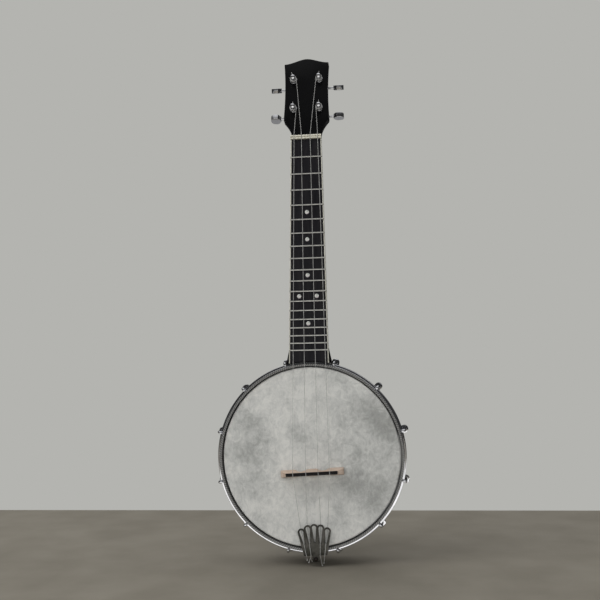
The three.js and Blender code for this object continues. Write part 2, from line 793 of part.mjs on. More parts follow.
function makeBridgeBase() {
  const top = bridgeHeight - bridgeCapHeight - seatGap;
  const half = bridgeLength / 2;
  const halfTop = bridgeTopLength / 2;
  const archEnd = bridgeArchPlace + bridgeArchHalfWidth;
  const archStart = bridgeArchPlace - bridgeArchHalfWidth;
  const shape = new THREE.Shape();
  shape.moveTo(-half, 0);
  shape.lineTo(-archEnd, 0);
  shape.quadraticCurveTo(-bridgeArchPlace, 2 * bridgeArchHeight, -archStart, 0);
  shape.lineTo(archStart, 0);
  shape.quadraticCurveTo(bridgeArchPlace, 2 * bridgeArchHeight, archEnd, 0);
  shape.lineTo(half, 0);
  shape.lineTo(half, bridgeEndHeight);
  shape.lineTo(halfTop, top);
  shape.lineTo(-halfTop, top);
  shape.lineTo(-half, bridgeEndHeight);
  const body = slab(shape, -bridgeFootThickness / 2, bridgeFootThickness, 5).rotateX(Math.PI / 2);
  const taper = sideProfile(polygon([
    [-bridgeFootThickness / 2, -seatGap],
    [bridgeFootThickness / 2, -seatGap],
    [bridgeFootThickness / 2, bridgeFootHeight],
    [bridgeTopThickness / 2, top + seatGap],
    [-bridgeTopThickness / 2, top + seatGap],
    [-bridgeFootThickness / 2, bridgeFootHeight],
  ]), bridgeLength + overrun);
  return solid(body).intersect(solid(taper));
}

function makeBridgeCap() {
  const low = bridgeHeight - bridgeCapHeight;
  const halfTop = bridgeTopLength / 2;
  const shape = polygon([
    [-halfTop, low],
    [halfTop, low],
    [halfTop - bridgeCapHeight / 4, bridgeHeight],
    [bridgeCapHeight / 4 - halfTop, bridgeHeight],
  ]);
  const body = slab(shape, -bridgeTopThickness / 2, bridgeTopThickness).rotateX(Math.PI / 2);
  let cap = solid(body);
  const slotWidth = 2 * (stringRadius + seatGap);
  for (const place of bridgeStringPlaces) {
    const size = [slotWidth, 2 * bridgeTopThickness, 2 * bridgeSlotDepth];
    cap = cap.subtract(solid(box(size, [place, 0, bridgeHeight])));
  }
  return cap;
}

// Tailpiece: a fan of round lobes whose tops lie on an arc, with one tapered slot in each lobe

function lobeCentre(i) {
  const across = (i - (lobeCount - 1) / 2) * lobePitch;
  const drop = lobeArcRadius - Math.sqrt(lobeArcRadius ** 2 - across ** 2);
  return new THREE.Vector2(across, -(tailTop + drop + lobeRadius));
}

// A slot runs from the middle of its lobe to its end along a line of the fan
function tailSlot(i) {
  const top = lobeCentre(i);
  const end = tailBottom - slotFeet[i];
  const across = fanAcross(top, end);
  const slot = new THREE.Shape();
  slot.absarc(top.x, top.y, slotTopHalfWidth, 0, Math.PI, false);
  slot.lineTo(across - slotBottomHalfWidth, -end);
  slot.lineTo(across + slotBottomHalfWidth, -end);
  return slab(slot, -overrun, 2 * overrun, 3);
}

// How far from the plate's middle line the line of a lobe lies at a distance from the pot's centre
function fanAcross(top, distance) {
  const fanShare = tailBottomHalfWidth / (lobeCentre(lobeCount - 1).x + lobeRadius);
  const lengthShare = (distance + top.y) / (tailBottom + top.y);
  return top.x * (1 + (fanShare - 1) * lengthShare);
}

function makeTailpiecePlate() {
  const centres = Array.from({ length: lobeCount }, (_, i) => lobeCentre(i));
  const [first, ...rest] = centres;
  const last = rest.pop();
  const outline = polygon([
    [-tailBottomHalfWidth, -tailBottom],
    [-tongueHalfWidth, -tailBottom],
    [-tongueHalfWidth, -tongueEnd],
    [tongueHalfWidth, -tongueEnd],
    [tongueHalfWidth, -tailBottom],
    [tailBottomHalfWidth, -tailBottom],
    [last.x + lobeRadius, last.y],
    ...rest.reverse().map((centre) => [centre.x, centre.y]),
    [first.x - lobeRadius, first.y],
  ]);
  let plate = solid(slab(outline, 0, tailThickness));
  for (const centre of centres) {
    const disc = bar(lobeRadius, 0, tailThickness, lobeSegments).translate(centre.x, centre.y, 0);
    plate = plate.add(solid(disc));
  }
  for (let i = 0; i < lobeCount; i++) plate = plate.subtract(solid(tailSlot(i)));
  const hole = bar(tailBoltRadius + screwClearance, -overrun, overrun, 8).translate(0, -tailBoltPlace, 0);
  return plate.subtract(solid(hole));
}

// A strap: a tab under the plate's tongue, down outside the hoop, in to the rim and down past the end bolt,
// where it widens to an eye
function makeTailpieceHanger() {
  const tabTop = tailUnderside - seatGap;
  const hoopSide = -(hoopOuterRadius + hangerRunGap);
  const rimSide = -(rimOuterRadius + hangerRunGap);
  const bendTop = fleshHoopBottom - seatGap;
  const foot = rodHeight - hangerFootDrop;
  const t = hangerThickness;
  const strap = polygon([
    [hoopSide, tabTop],
    [hoopSide, bendTop],
    [rimSide, bendTop - hangerBendDrop],
    [rimSide, foot],
    [rimSide - t, foot],
    [rimSide - t, bendTop - hangerBendDrop - t / 2],
    [hoopSide - t, bendTop - t / 2],
    [hoopSide - t, tabTop - t],
    [-tongueEnd, tabTop - t],
    [-tongueEnd, tabTop],
  ]);
  let hanger = solid(sideProfile(strap, 2 * tongueHalfWidth).translate(tailOffset, 0, 0));
  const bolt = bar(tailBoltRadius + screwClearance, tabTop - overrun, tabTop + overrun, 8)
    .translate(tailOffset, -tailBoltPlace, 0);
  const eye = alongY(bar(hangerEyeRadius, rimSide - t, rimSide)).translate(0, 0, rodHeight);
  const stud = alongY(bar(studBoreRadius, rimSide - overrun, rimSide + overrun)).translate(0, 0, rodHeight);
  hanger = hanger.add(solid(eye)).subtract(solid(bolt));
  return hanger.subtract(solid(stud));
}

function makeTailpieceBolt() {
  const seat = tailThickness + seatGap;
  const under = -(2 * seatGap + hangerThickness);
  const shank = bar(tailBoltRadius, under - 2 * tailBoltHeadHeight, seat + seatGap, 8);
  const head = bar(tailBoltHeadRadius, seat, seat + tailBoltHeadHeight, 6);
  const nut = bar(tailBoltHeadRadius, under - tailBoltHeadHeight, under, 6);
  return solid(shank).add(solid(head)).add(solid(nut)).translate([0, -tailBoltPlace, 0]);
}

// Tuners: worm and wheel. The post's axis is z, and the worm lies across it, nearer to the nut.

// A single-start thread about z, with a crest centred at height 0 at angle 0. Its skin is a strip of rows
// that climb with the helix, four to a turn: the two ends of the root and the two ends of the crest. The
// strip's last column meets its first one a turn higher, and a fan closes it at each end.
function wormThread() {
  const columns = 12;
  const halfTurns = Math.ceil(wormHalfLength / gearPitch) + 1;
  const rows = 8 * halfTurns + 1;
  const profile = [
    [wormPitchRadius - toothDedendum, -toothRootShare / 2],
    [wormPitchRadius + toothAddendum, -toothTipShare / 2],
    [wormPitchRadius + toothAddendum, toothTipShare / 2],
    [wormPitchRadius - toothDedendum, toothRootShare / 2],
  ];
  const points = [];
  for (let column = 0; column < columns; column++) {
    const turn = 2 * Math.PI * column / columns;
    for (let row = 0; row < rows; row++) {
      const [radius, share] = profile[row % 4];
      const height = gearPitch * (Math.floor(row / 4) - halfTurns + share + column / columns);
      points.push(new THREE.Vector3(radius * Math.cos(turn), radius * Math.sin(turn), height));
    }
  }
  const at = (column, row) => (column < columns ? column * rows + row : row + 4);
  const triangles = [];
  for (let column = 0; column < columns; column++) {
    const lastRow = column < columns - 1 ? rows - 1 : rows - 5;
    for (let row = 0; row < lastRow; row++) {
      const [a, b] = [at(column, row), at(column + 1, row)];
      triangles.push(a, b, b + 1, a, b + 1, a + 1);
    }
  }
  const everyColumn = Array.from({ length: columns }, (_, column) => column);
  const lowLoop = everyColumn.map((column) => at(column, 0)).concat([4, 3, 2, 1]);
  const highLoop = everyColumn.map((column) => at(column, rows - 1));
  highLoop.push(...[2, 3, 4, 5].map((back) => at(columns - 1, rows - back)));
  const lowCentre = points.push(new THREE.Vector3(0, 0, gearPitch * (0.5 - halfTurns))) - 1;
  const highCentre = points.push(new THREE.Vector3(0, 0, gearPitch * halfTurns)) - 1;
  lowLoop.forEach((point, i) => triangles.push(lowCentre, lowLoop[(i + 1) % lowLoop.length], point));
  highLoop.forEach((point, i) => triangles.push(highCentre, point, highLoop[(i + 1) % highLoop.length]));
  const geometry = new THREE.BufferGeometry().setFromPoints(points);
  geometry.setIndex(triangles);
  return geometry;
}

// The wheel's teeth lean by the thread's lead angle, and a gap between two teeth faces the worm
function gearWheel() {
  const lean = gearPitch / (2 * Math.PI * wormPitchRadius) / gearPitchRadius;
  const toothTurn = 2 * Math.PI / gearTeeth;
  const tip = toothTipShare / 2;
  const foot = toothRootShare / 2;
  const corners = [
    [gearPitchRadius - toothDedendum, -foot],
    [gearPitchRadius + toothAddendum, -tip],
    [gearPitchRadius + toothAddendum, tip],
    [gearPitchRadius - toothDedendum, foot],
  ];
  return loft([-gearThickness / 2, gearThickness / 2].map((height) => {
    const outline = [];
    for (let tooth = 0; tooth < gearTeeth; tooth++) {
      for (const [radius, share] of corners) {
        const turn = toothTurn * (tooth + 0.5 + share) - Math.PI / 2 + lean * height;
        outline.push(new THREE.Vector3(radius * Math.cos(turn), radius * Math.sin(turn), height));
      }
    }
    return outline;
  })).translate(0, 0, wormHeight);
}

function postTopPlace() {
  return holeHeight() + postHoleLand;
}

function holeHeight() {
  return windingFoot + (windingTurns + 1) * windingPitch + postHoleRadius;
}

function makePost() {
  const gearBack = wormHeight - gearThickness / 2;
  const capFoot = postTopPlace();
  const capTop = capFoot + postCapHeight;
  const shoulder = wormHeight + gearThickness / 2 + seatGap / 2;
  const hubRadius = gearPitchRadius - toothDedendum - seatGap;
  const post = solid(turned([
    [0, gearBack - gearScrewHeight],
    [gearScrewRadius, gearBack - gearScrewHeight],
    [gearScrewRadius, gearBack + seatGap],
    [hubRadius, gearBack + seatGap],
    [hubRadius, shoulder],
    [postRadius, shoulder],
    [postRadius, capFoot - seatGap],
    [postTopRadius, capFoot],
    [postTopRadius, capTop - postDomeHeight],
    [postTopRadius - postDomeHeight, capTop],
    [0, capTop],
  ]));
  const hole = alongY(bar(postHoleRadius, -overrun, overrun, 8)).translate(0, 0, holeHeight());
  return post.add(solid(gearWheel())).subtract(solid(hole));
}

function makeBushing() {
  const inner = postRadius + postRunGap;
  const sleeve = inner + bushingSleeveWall;
  const flange = sleeve + bushingFlangeWidth;
  return solid(ring([
    [inner, -bushingSleeveDepth],
    [sleeve, -bushingSleeveDepth],
    [sleeve, seatGap],
    [flange, seatGap],
    [flange - bushingFlangeHeight / 3, seatGap + bushingFlangeHeight],
    [inner, seatGap + bushingFlangeHeight],
  ], roundSegments));
}

// The plate behind the headstock, with two lugs that carry the worm's shaft
function makeTunerPlate() {
  const outline = new THREE.Shape();
  outline.absarc(0, tunerPlateUpperReach - lugFace, lugFace, 0, Math.PI, false);
  outline.absarc(0, lugFace - tunerPlateLowerReach, lugFace, Math.PI, 2 * Math.PI, false);
  let plate = solid(slab(outline, tunerPlateBack, tunerPlateThickness, 5));
  const lugTip = wormHeight - knobShaftRadius - lugThickness;
  for (const side of [-1, 1]) {
    const middle = side * (lugFace - lugThickness / 2);
    const size = [lugThickness, 2 * lugHalfLength, tunerPlateBack - lugTip + tunerPlateThickness / 2];
    const centre = [middle, -wormOffset, (tunerPlateBack + tunerPlateThickness / 2 + lugTip) / 2];
    plate = plate.add(solid(box(size, centre)));
  }
  const holeReach = lugFace + overrun;
  const shaftHole = alongX(bar(knobShaftRadius + knobShaftGap, -holeReach, holeReach, 8))
    .translate(0, -wormOffset, wormHeight);
  const roomRadius = wormPitchRadius + toothAddendum + seatGap;
  const roomReach = wormHalfLength + seatGap;
  const wormRoom = alongX(bar(roomRadius, -roomReach, roomReach)).translate(0, -wormOffset, wormHeight);
  const postHole = bar(postRadius + postRunGap, -headThickness - overrun, 0);
  return plate.subtract(solid(shaftHole)).subtract(solid(postHole)).subtract(solid(wormRoom));
}

// Shaft, worm and button in one. It is built along z and then laid along x, out past the headstock's edge.
function makeKnob(tuner) {
  const collarFace = lugFace + seatGap;
  const shoulder = wormHalfLength + seatGap / 2;
  const coreRadius = wormPitchRadius - toothDedendum - toothDedendum / 4;
  const thread = wormThread().rotateZ(Math.PI / 2);
  const threadSpan = bar(2 * wormPitchRadius, -wormHalfLength, wormHalfLength);
  let knob = solid(thread).intersect(solid(threadSpan));
  knob = knob.add(solid(bar(coreRadius, -shoulder - seatGap, shoulder + seatGap, 8)));
  knob = knob.add(solid(bar(knobShaftRadius, -collarFace - seatGap, -shoulder, 8)));
  knob = knob.add(solid(bar(knobCollarRadius, -collarFace - knobCollarLength, -collarFace, 8)));
  knob = knob.add(solid(bar(knobShaftRadius, shoulder, buttonStart + seatGap, 8)));
  knob = knob.add(solid(bar(knobCollarRadius, collarFace, collarFace + knobCollarLength, 8)));
  knob = knob.add(solid(buttonBlock().rotateZ(tuner.buttonTurn)));
  const turnIntoX = new THREE.Matrix4().makeRotationY(tuner.side * Math.PI / 2)
    .setPosition(0, -wormOffset, wormHeight);
  return knob.transform(turnIntoX.elements);
}

// The button's outline lies in x and z, widest near its outer end, with rounded corners
function buttonBlock() {
  const wide = buttonHalfWidth - buttonEdgeRound;
  const narrow = buttonNeckHalfWidth - buttonEdgeRound / 2;
  const low = buttonStart + buttonEdgeRound;
  const high = buttonStart + buttonLength - buttonEdgeRound;
  const length = high - low;
  const shape = new THREE.Shape();
  shape.moveTo(-narrow, low);
  shape.lineTo(narrow, low);
  const root = low + 0.15 * length;
  const waist = low + 0.12 * length;
  const widest = low + 0.45 * length;
  const shoulder = low + 0.9 * length;
  const spread = narrow + 0.1 * wide;
  shape.bezierCurveTo(spread, root, wide, waist, wide, widest);
  shape.bezierCurveTo(wide, shoulder, 0.6 * wide, high, 0, high);
  shape.bezierCurveTo(-0.6 * wide, high, -wide, shoulder, -wide, widest);
  shape.bezierCurveTo(-wide, waist, -spread, root, -narrow, low);
  const options = {
    depth: buttonThickness - 2 * buttonEdgeRound,
    bevelThickness: buttonEdgeRound,
    bevelSize: buttonEdgeRound,
    bevelSegments: 1,
    curveSegments: 3,
  };
  const block = new THREE.ExtrudeGeometry(shape, options);
  return block.translate(0, 0, buttonEdgeRound - buttonThickness / 2).rotateX(Math.PI / 2);
}

// Strings

// The winding on a post, in the tuner's frame: from the tangent point up around the post, then outward and
// in through the post's hole. A left post is wound anticlockwise and a right one clockwise.
function windingPoints(tuner, arrival) {
  const sense = -tuner.side;
  const reach = Math.hypot(arrival.x, arrival.y);
  const firstTurn = Math.atan2(arrival.y, arrival.x) + sense * Math.acos(windingRadius / reach);
  const holeTurn = -Math.PI / 2;
  const leaveBefore = 1;
  const toHole = THREE.MathUtils.euclideanModulo(sense * (holeTurn - firstTurn), 2 * Math.PI);
  const sweep = toHole + 2 * Math.PI * windingTurns - leaveBefore;
  const steps = Math.round(sweep / (2 * Math.PI) * windingSteps);
  const points = [];
  for (let i = 0; i <= steps; i++) {
    const turn = firstTurn + sense * sweep * i / steps;
    const height = windingFoot + windingPitch * sweep / (2 * Math.PI) * i / steps;
    points.push(new THREE.Vector3(windingRadius * Math.cos(turn), windingRadius * Math.sin(turn), height));
  }
  const last = points[points.length - 1];
  const heading = new THREE.Vector3(-sense * last.y, sense * last.x, 0).normalize();
  const mouth = new THREE.Vector3(0, -windingRadius - stringRadius, holeHeight());
  const handle = windingRadius / 2;
  const curve = new THREE.CubicBezierCurve3(
    last,
    last.clone().addScaledVector(heading, handle),
    mouth.clone().add(new THREE.Vector3(0, -handle, 0)),
    mouth);
  points.push(...curve.getPoints(7).slice(1));
  points.push(new THREE.Vector3(0, postRadius + stringTail, holeHeight()));
  return points;
}

// The least gap of a winding to itself: points less than half a turn apart along it don't count
function leastSelfGap(points) {
  let least = Infinity;
  for (let i = 0; i < points.length; i++) {
    for (let j = i + Math.ceil(windingSteps / 2); j < points.length; j++) {
      least = Math.min(least, points[i].distanceTo(points[j]));
    }
  }
  return least - 2 * stringRadius;
}

// The part of a string below the bridge: under the plate's front bar, up through a slot, over the plate and
// down past its end to the knot
function tailPoints(i, bridgePoint) {
  const lobe = i < 2 ? i : i + 1;
  const top = lobeCentre(lobe);
  const across = (distance) => fanAcross(top, distance);
  const above = tailThickness + seatGap + stringRadius;
  const below = -(seatGap + stringRadius);
  const slotLength = tailBottom - slotFeet[lobe] + top.y;
  const local = [
    [tailKnotPlaces[i], tailBottom + tailKnotReach[i], below - tailKnotDrop],
    [across(tailBottom), tailBottom + seatGap, above],
    [across(-top.y + 0.8 * slotLength), -top.y + 0.8 * slotLength, above],
    [across(-top.y + 0.15 * slotLength), -top.y + 0.15 * slotLength, below],
    [across(-top.y - lobeRadius), -top.y - lobeRadius - frontBarLead, below],
  ];
  const knot = new THREE.Vector3(local[0][0], -local[0][1], local[0][2]);
  const first = new THREE.Vector3(local[1][0], -local[1][1], local[1][2]);
  const along = first.clone().sub(knot).normalize();
  const knotPoints = [0, 1, 3, 4].map((step) =>
    knot.clone().addScaledVector(along, step * tailKnotRadius / 2));
  const rest = local.slice(1).map(([x, y, z]) => new THREE.Vector3(x, -y, z));
  const points = [...knotPoints, ...rest].map((point) => pointIn(pot, tailFrame, point));
  return points.concat(bridgePoint);
}

function makeString(i) {
  const tuner = tuners[i];
  const bridgeSeat = bridgeHeight - bridgeSlotDepth + seatGap + stringRadius;
  const bridgeEdge = bridgeTopThickness / 2;
  const overBridge = [-bridgeEdge, bridgeEdge].map((y) =>
    pointIn(pot, bridgeFrame, new THREE.Vector3(bridgeStringPlaces[i], y, bridgeSeat)));
  const nutSeat = fretHeight + nutSlotLift + seatGap + stringRadius;
  const overNut = [0, nutThickness].map((along) =>
    new THREE.Vector3(nutStringPlaces[i], nutDistance + along, nutSeat));
  const winding = windingPoints(tuner, pointIn(tuner.frame, neckFrame, overNut[1]));
  console.log(`string_${i + 1} winding: least gap to itself ${leastSelfGap(winding).toFixed(2)} mm`);
  const points = [
    ...tailPoints(i, overBridge),
    ...overNut.map((point) => pointIn(pot, neckFrame, point)),
    ...winding.map((point) => pointIn(pot, tuner.frame, point)),
  ];
  const knotRadii = [tailKnotRadius / 2, tailKnotRadius, tailKnotRadius];
  return solid(tube(points, (k) => knotRadii[k] ?? stringRadius, stringSides));
}

// Assembly

addPiece(pot, 'rim', makeRim(), walnutStain);
addPiece(pot, 'head_film', makeHeadFilm(), film);
addPiece(pot, 'flesh_hoop', makeFleshHoop(), steel);
addPiece(pot, 'tension_hoop', makeTensionHoop(), chrome);

for (let i = 0; i < hookCount; i++) {
  const station = new THREE.Group();
  station.rotation.z = -hookAngle(i);
  pot.add(station);
  const number = String(i + 1).padStart(2, '0');
  addPiece(station, `hook_${number}`, makeHook(), chrome);
  addPiece(station, `shoe_${number}`, makeShoe(), chrome);
}

addPiece(pot, 'coordinator_rod', makeCoordinatorRod(), steel);
addPiece(pot, 'end_bolt', makeEndBolt(), steel);

addPiece(neckFrame, 'neck', makeNeck(), blackLacquer);
addPiece(neckFrame, 'fretboard', makeFretboard(), rosewood);
addPiece(neckFrame, 'binding_left', makeBinding(-1), ivoroid);
addPiece(neckFrame, 'binding_right', makeBinding(1), ivoroid);
addPiece(neckFrame, 'nut', makeNut(), ivoroid);

addPiece(bridgeFrame, 'bridge_base', makeBridgeBase(), maple);
addPiece(bridgeFrame, 'bridge_cap', makeBridgeCap(), ebony);

addPiece(tailFrame, 'tailpiece_plate', makeTailpiecePlate(), castNickel);
addPiece(pot, 'tailpiece_hanger', makeTailpieceHanger(), castNickel);
addPiece(tailFrame, 'tailpiece_bolt', makeTailpieceBolt(), steel);

for (const tuner of tuners) {
  addPiece(tuner.frame, `tuner_bushing_${tuner.number}`, makeBushing(), chrome);
  addPiece(tuner.frame, `tuner_plate_${tuner.number}`, makeTunerPlate(), chrome);
  addPiece(tuner.frame, `tuner_post_${tuner.number}`, makePost(), chrome);
  addPiece(tuner.frame, `tuner_knob_${tuner.number}`, makeKnob(tuner), chrome);
}

for (let i = 0; i < tuners.length; i++) {
  addPiece(pot, `string_${i + 1}`, makeString(i), nylon);
}

export default instrument;
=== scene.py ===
import math

import bmesh
import bpy
from mathutils import Matrix, Vector


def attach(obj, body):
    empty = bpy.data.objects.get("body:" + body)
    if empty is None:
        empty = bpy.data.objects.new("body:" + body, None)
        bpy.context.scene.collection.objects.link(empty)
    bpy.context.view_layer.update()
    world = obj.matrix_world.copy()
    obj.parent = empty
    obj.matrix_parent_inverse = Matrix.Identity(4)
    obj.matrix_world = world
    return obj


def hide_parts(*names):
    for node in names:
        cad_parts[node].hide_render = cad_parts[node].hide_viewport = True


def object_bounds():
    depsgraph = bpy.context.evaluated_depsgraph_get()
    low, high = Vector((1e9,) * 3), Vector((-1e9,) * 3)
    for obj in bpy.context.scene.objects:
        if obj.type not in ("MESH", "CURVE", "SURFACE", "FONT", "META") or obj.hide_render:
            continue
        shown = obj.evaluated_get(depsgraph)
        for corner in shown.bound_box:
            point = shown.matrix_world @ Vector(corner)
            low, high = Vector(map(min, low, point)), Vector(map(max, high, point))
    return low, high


# The looks of a concert banjo ukulele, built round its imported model. Sizes are in millimetres. Each piece is
# built in the frame of what carries it: the pot, the neck, the headstock, a tuner, the bridge or the
# tailpiece. In all of these frames x runs to the right of the face, y up the neck and z out of the face.

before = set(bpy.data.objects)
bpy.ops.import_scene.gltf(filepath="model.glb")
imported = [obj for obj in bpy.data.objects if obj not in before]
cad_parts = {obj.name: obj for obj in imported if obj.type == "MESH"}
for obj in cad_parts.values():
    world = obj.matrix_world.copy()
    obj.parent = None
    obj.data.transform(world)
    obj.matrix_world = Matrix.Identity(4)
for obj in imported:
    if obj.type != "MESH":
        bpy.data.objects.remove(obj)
cad_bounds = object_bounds()

MM = 0.001
SEAT_GAP = 0.3
OVERRUN = 4
POT_SEGMENTS = 192
ROUND_SEGMENTS = 40
SMALL_SEGMENTS = 24
TUBE_SIDES = 12
THICK_TUBE_SIDES = 20
BEND_STEPS = 8
DOME_END = math.radians(80)
MERGE_DISTANCE = 0.0001
SHARP_ANGLE = math.radians(28)
BEVEL_ANGLE = math.radians(35)

# Pot
RIM_OUTER = 98.5
RIM_WALL = 10.5
RIM_HEIGHT = 55
RIM_EDGE_ROUND = 2.5
RIM_BACK_ROUND = 1
FILM_THICKNESS = 0.5
FILM_SHOULDER = 2
COLLAR_CLEARANCE = 0.5
COLLAR_DEPTH = 14
FLESH_HOOP_WALL = 3.2
FLESH_HOOP_HEIGHT = 4.5
FLESH_HOOP_ROUND = 0.6
HOOP_SLACK = 1.3
HOOP_WALL = 2.8
HOOP_LIP = 2
HOOP_LEDGE_DROP = 3.8
HOOP_LEDGE_WIDTH = 2.4
HOOP_ROUNDS = (0.7, 0.9, 0.9, 0.5, 1, 0.9)
RIM_INNER = RIM_OUTER - RIM_WALL
RIM_MIDDLE = RIM_OUTER - RIM_WALL / 2
FILM_RADIUS = RIM_OUTER + COLLAR_CLEARANCE + FILM_THICKNESS
FILM_TOP = RIM_HEIGHT + SEAT_GAP + FILM_THICKNESS
FLESH_HOOP_BOTTOM = FILM_TOP - COLLAR_DEPTH
HOOP_INNER = FILM_RADIUS + HOOP_SLACK
HOOP_BAND = HOOP_INNER + HOOP_WALL
HOOP_OUTER = HOOP_BAND + HOOP_LEDGE_WIDTH
HOOP_TOP = FILM_TOP + HOOP_LIP
HOOP_BOTTOM = FLESH_HOOP_BOTTOM + FLESH_HOOP_HEIGHT + SEAT_GAP
LEDGE_TOP = HOOP_TOP - HOOP_LEDGE_DROP

# Darker clouds of the film, partly its own mottling and partly painted shade: x, y, reach and depth
FILM_MOTTLE_AND_SHADE = (
    (-80, 42, 26, 0.08),
    (-66, 26, 30, 0.08),
    (-60, 8, 32, 0.07),
    (-62, -6, 26, 0.06),
    (-84, 4, 24, 0.07),
    (-66, -34, 30, 0.09),
    (-60, -72, 18, 0.06),
    (-15, 25, 18, 0.09),
    (34, 44, 20, 0.06),
    (64, 50, 24, 0.08),
    (80, 36, 24, 0.09),
    (90, 26, 22, 0.08),
    (46, -27, 24, 0.07),
    (64, -38, 32, 0.1),
    (66, -54, 22, 0.07),
    (-3, -42, 20, 0.07),
    (28, -68, 20, 0.06),
    (76, 4, 100, 0.08),
    (10, 96, 60, 0.04),
)

# Looks: the film's noises in the order wisps, flecks, fibres, and the counts that patterns go by
NOISE_LOW = 0.3
NOISE_HIGH = 0.7
CLOUD_CORE_SHARE = 0.2
FILM_NOISE_SHARES = (0.46, 0.3, 0.24)
BLOOM_SHADE_SHARE = 0.55
POLISH_START = HOOP_BAND - 0.3
POLISH_FULL = HOOP_BAND + 0.1
HATCH_BY_TURN = 260
HATCH_BY_RADIUS = 1500
PLY_PAIR = 2.6
PLY_SHARE = 0.35
GRAIN_BY_TURN = 0.6

# Hooks and shoes
HOOK_COUNT = 12
HOOK_RADIUS = 1.6
HOOK_RUN_GAP = 0.5
HOOK_BEND = 2.4
HOOK_BEND_STEPS = 10
HOOK_CLAW_GAP = 0.4
HOOK_TAIL = 5
THREAD_PITCH = 0.5
THREAD_DEPTH = 0.2
THREAD_CREST_SHARE = 0.999
HOOK_NUT_RADIUS = 3.3
HOOK_NUT_HEIGHT = 4.5
HEXAGON_CHAMFER_SHARE = 0.6
HEXAGON_SPARE_SHARE = 1.001
SHOE_TOP_GAP = 2.8
SHOE_WIDTH = 8.4
SHOE_BASE_HEIGHT = 16
SHOE_BASE_THICKNESS = 2.6
SHOE_BASE_ROUND = 1
SHOE_NOSE_ROUND = 1.4
SHOE_ARM_HEIGHT = 7
SHOE_FILLET = 2.4
SHOE_EDGE_ROUND = 0.6
SCREW_RADIUS = 1.9
SCREW_HEAD_RADIUS = 3.9
SCREW_HEAD_HEIGHT = 2.6
SCREW_CLEARANCE = 0.35
HOOK_CIRCLE = HOOP_OUTER + HOOK_RUN_GAP + HOOK_RADIUS
SHOE_MIDDLE = FLESH_HOOP_BOTTOM - SHOE_TOP_GAP - SHOE_BASE_HEIGHT / 2

# Rod across the pot and its end bolt
ROD_RADIUS = 4.5
ROD_BELOW_FILM = 28.8
ROD_COLLAR_RADIUS = 7
ROD_COLLAR_LENGTH = 6
STUD_RADIUS = 2.5
STUD_REACH = 17
BOLT_DEPTH = 13
END_BOLT_HEAD_RADIUS = 5
END_BOLT_HEAD_HEIGHT = 3.4
STUD_BORE = STUD_RADIUS + SCREW_CLEARANCE
ROD_HEIGHT = FILM_TOP - ROD_BELOW_FILM

# Neck and fretboard
SCALE_LENGTH = 380
FRETS_PER_OCTAVE = 12
BRIDGE_PLACE = 16.26
NECK_ROOT = HOOP_OUTER - 1
NECK_PITCH = math.radians(3.6)
BOARD_RISE = 4
BOARD_THICKNESS = 4.7
BOARD_HALF_WIDTH_AT_NUT = 16.5
BOARD_HALF_WIDTH_AT_ROOT = 21.04
BINDING_WIDTH = 1.4
BINDING_DROP = 0.3
BINDING_ROUND = 0.25
FRET_COUNT = 18
FRET_WIDTH = 1.4
FRET_TOP_WIDTH = FRET_WIDTH / 1.2
FRET_HEIGHT = 1
FRET_SINK = 0.2
FRET_ROUND = 0.7
FRET_END_SLOPE = 0.7
FRET_END_RISE_SHARE = 0.3
DOT_RADIUS = 2.35
DOT_SPREAD = 10
SINGLE_DOTS = (5, 7, 10, 15)
DOUBLE_DOT = 12
NECK_SECTION_STEPS = 32
NECK_DEPTH_AT_NUT = 19
NECK_DEPTH_AT_HEEL = 22
SHAFT_STEPS = 8
HEEL_DEPTH = 52
HEEL_LENGTH = 6
HEEL_SWEEP = 34
HEEL_SWEEP_POWER = 2.4
HEEL_STEPS = 26
HEEL_FULLNESS = 1.5
HEEL_HOOK_GAP = 0.5
HEEL_FLARE_LENGTH = 17
HEEL_BORE_SPARE = 2
BOARD_TOP = FILM_TOP + BOARD_RISE
NUT_DISTANCE = (SCALE_LENGTH - BRIDGE_PLACE - NECK_ROOT) / math.cos(NECK_PITCH)

# A dot's profile: shares of its radius, and heights
DOT_PROFILE = ((0, -1), (1, -1), (1, 0.02), (0.9, 0.08), (0, 0.12))

# Nut. The shares are of its thickness and height
NUT_THICKNESS = 5
NUT_HEIGHT = 2.6
NUT_SLOT_LIFT = 0.4
NUT_SEAM_PLACE = 1.9
NUT_SEAM_WIDTH = 1
NUT_SEAM_FOOT = 0.8
NUT_HEAD_SIDE_SHARES = ((1, 0.5), (1, 1), (0.6, 1))
NUT_BOARD_SIDE_SHARES = ((0.15, 1), (0, 1), (0, 0.75))

# Headstock. The shares are of a curve's width and length
HEAD_TILT = math.radians(8)
HEAD_DROP = 2.5
HEAD_THICKNESS = 10
HEAD_EDGE_ROUND = 0.8
HEAD_SHELF_GAP = 0.7
HEAD_START = 17.3
HEAD_SHOULDER = 26.75
HEAD_SHOULDER_PLACE = 29
HEAD_CORNER = 26.5
HEAD_CORNER_PLACE = 100.7
HEAD_PEAK_RISE = 5.9
THROAT_LENGTH = 24
THROAT_DROP = 3
THROAT_NARROWING = 3.5
THROAT_STEPS = 12
THROAT_SHARES = ((0, 0), (0, 0.26), (0.29, 0.54), (0.94, 0.85))
SHOULDER_SHARES = ((0.94, 0.85), (1, 0.9), (1, 1))
WAIST_SHARES = ((0, 0), (0.12, 0.18), (0.27, 0.57))
OGEE_SHARES = ((1, 0), (0.64, 0), (0.3, 1), (0, 1))

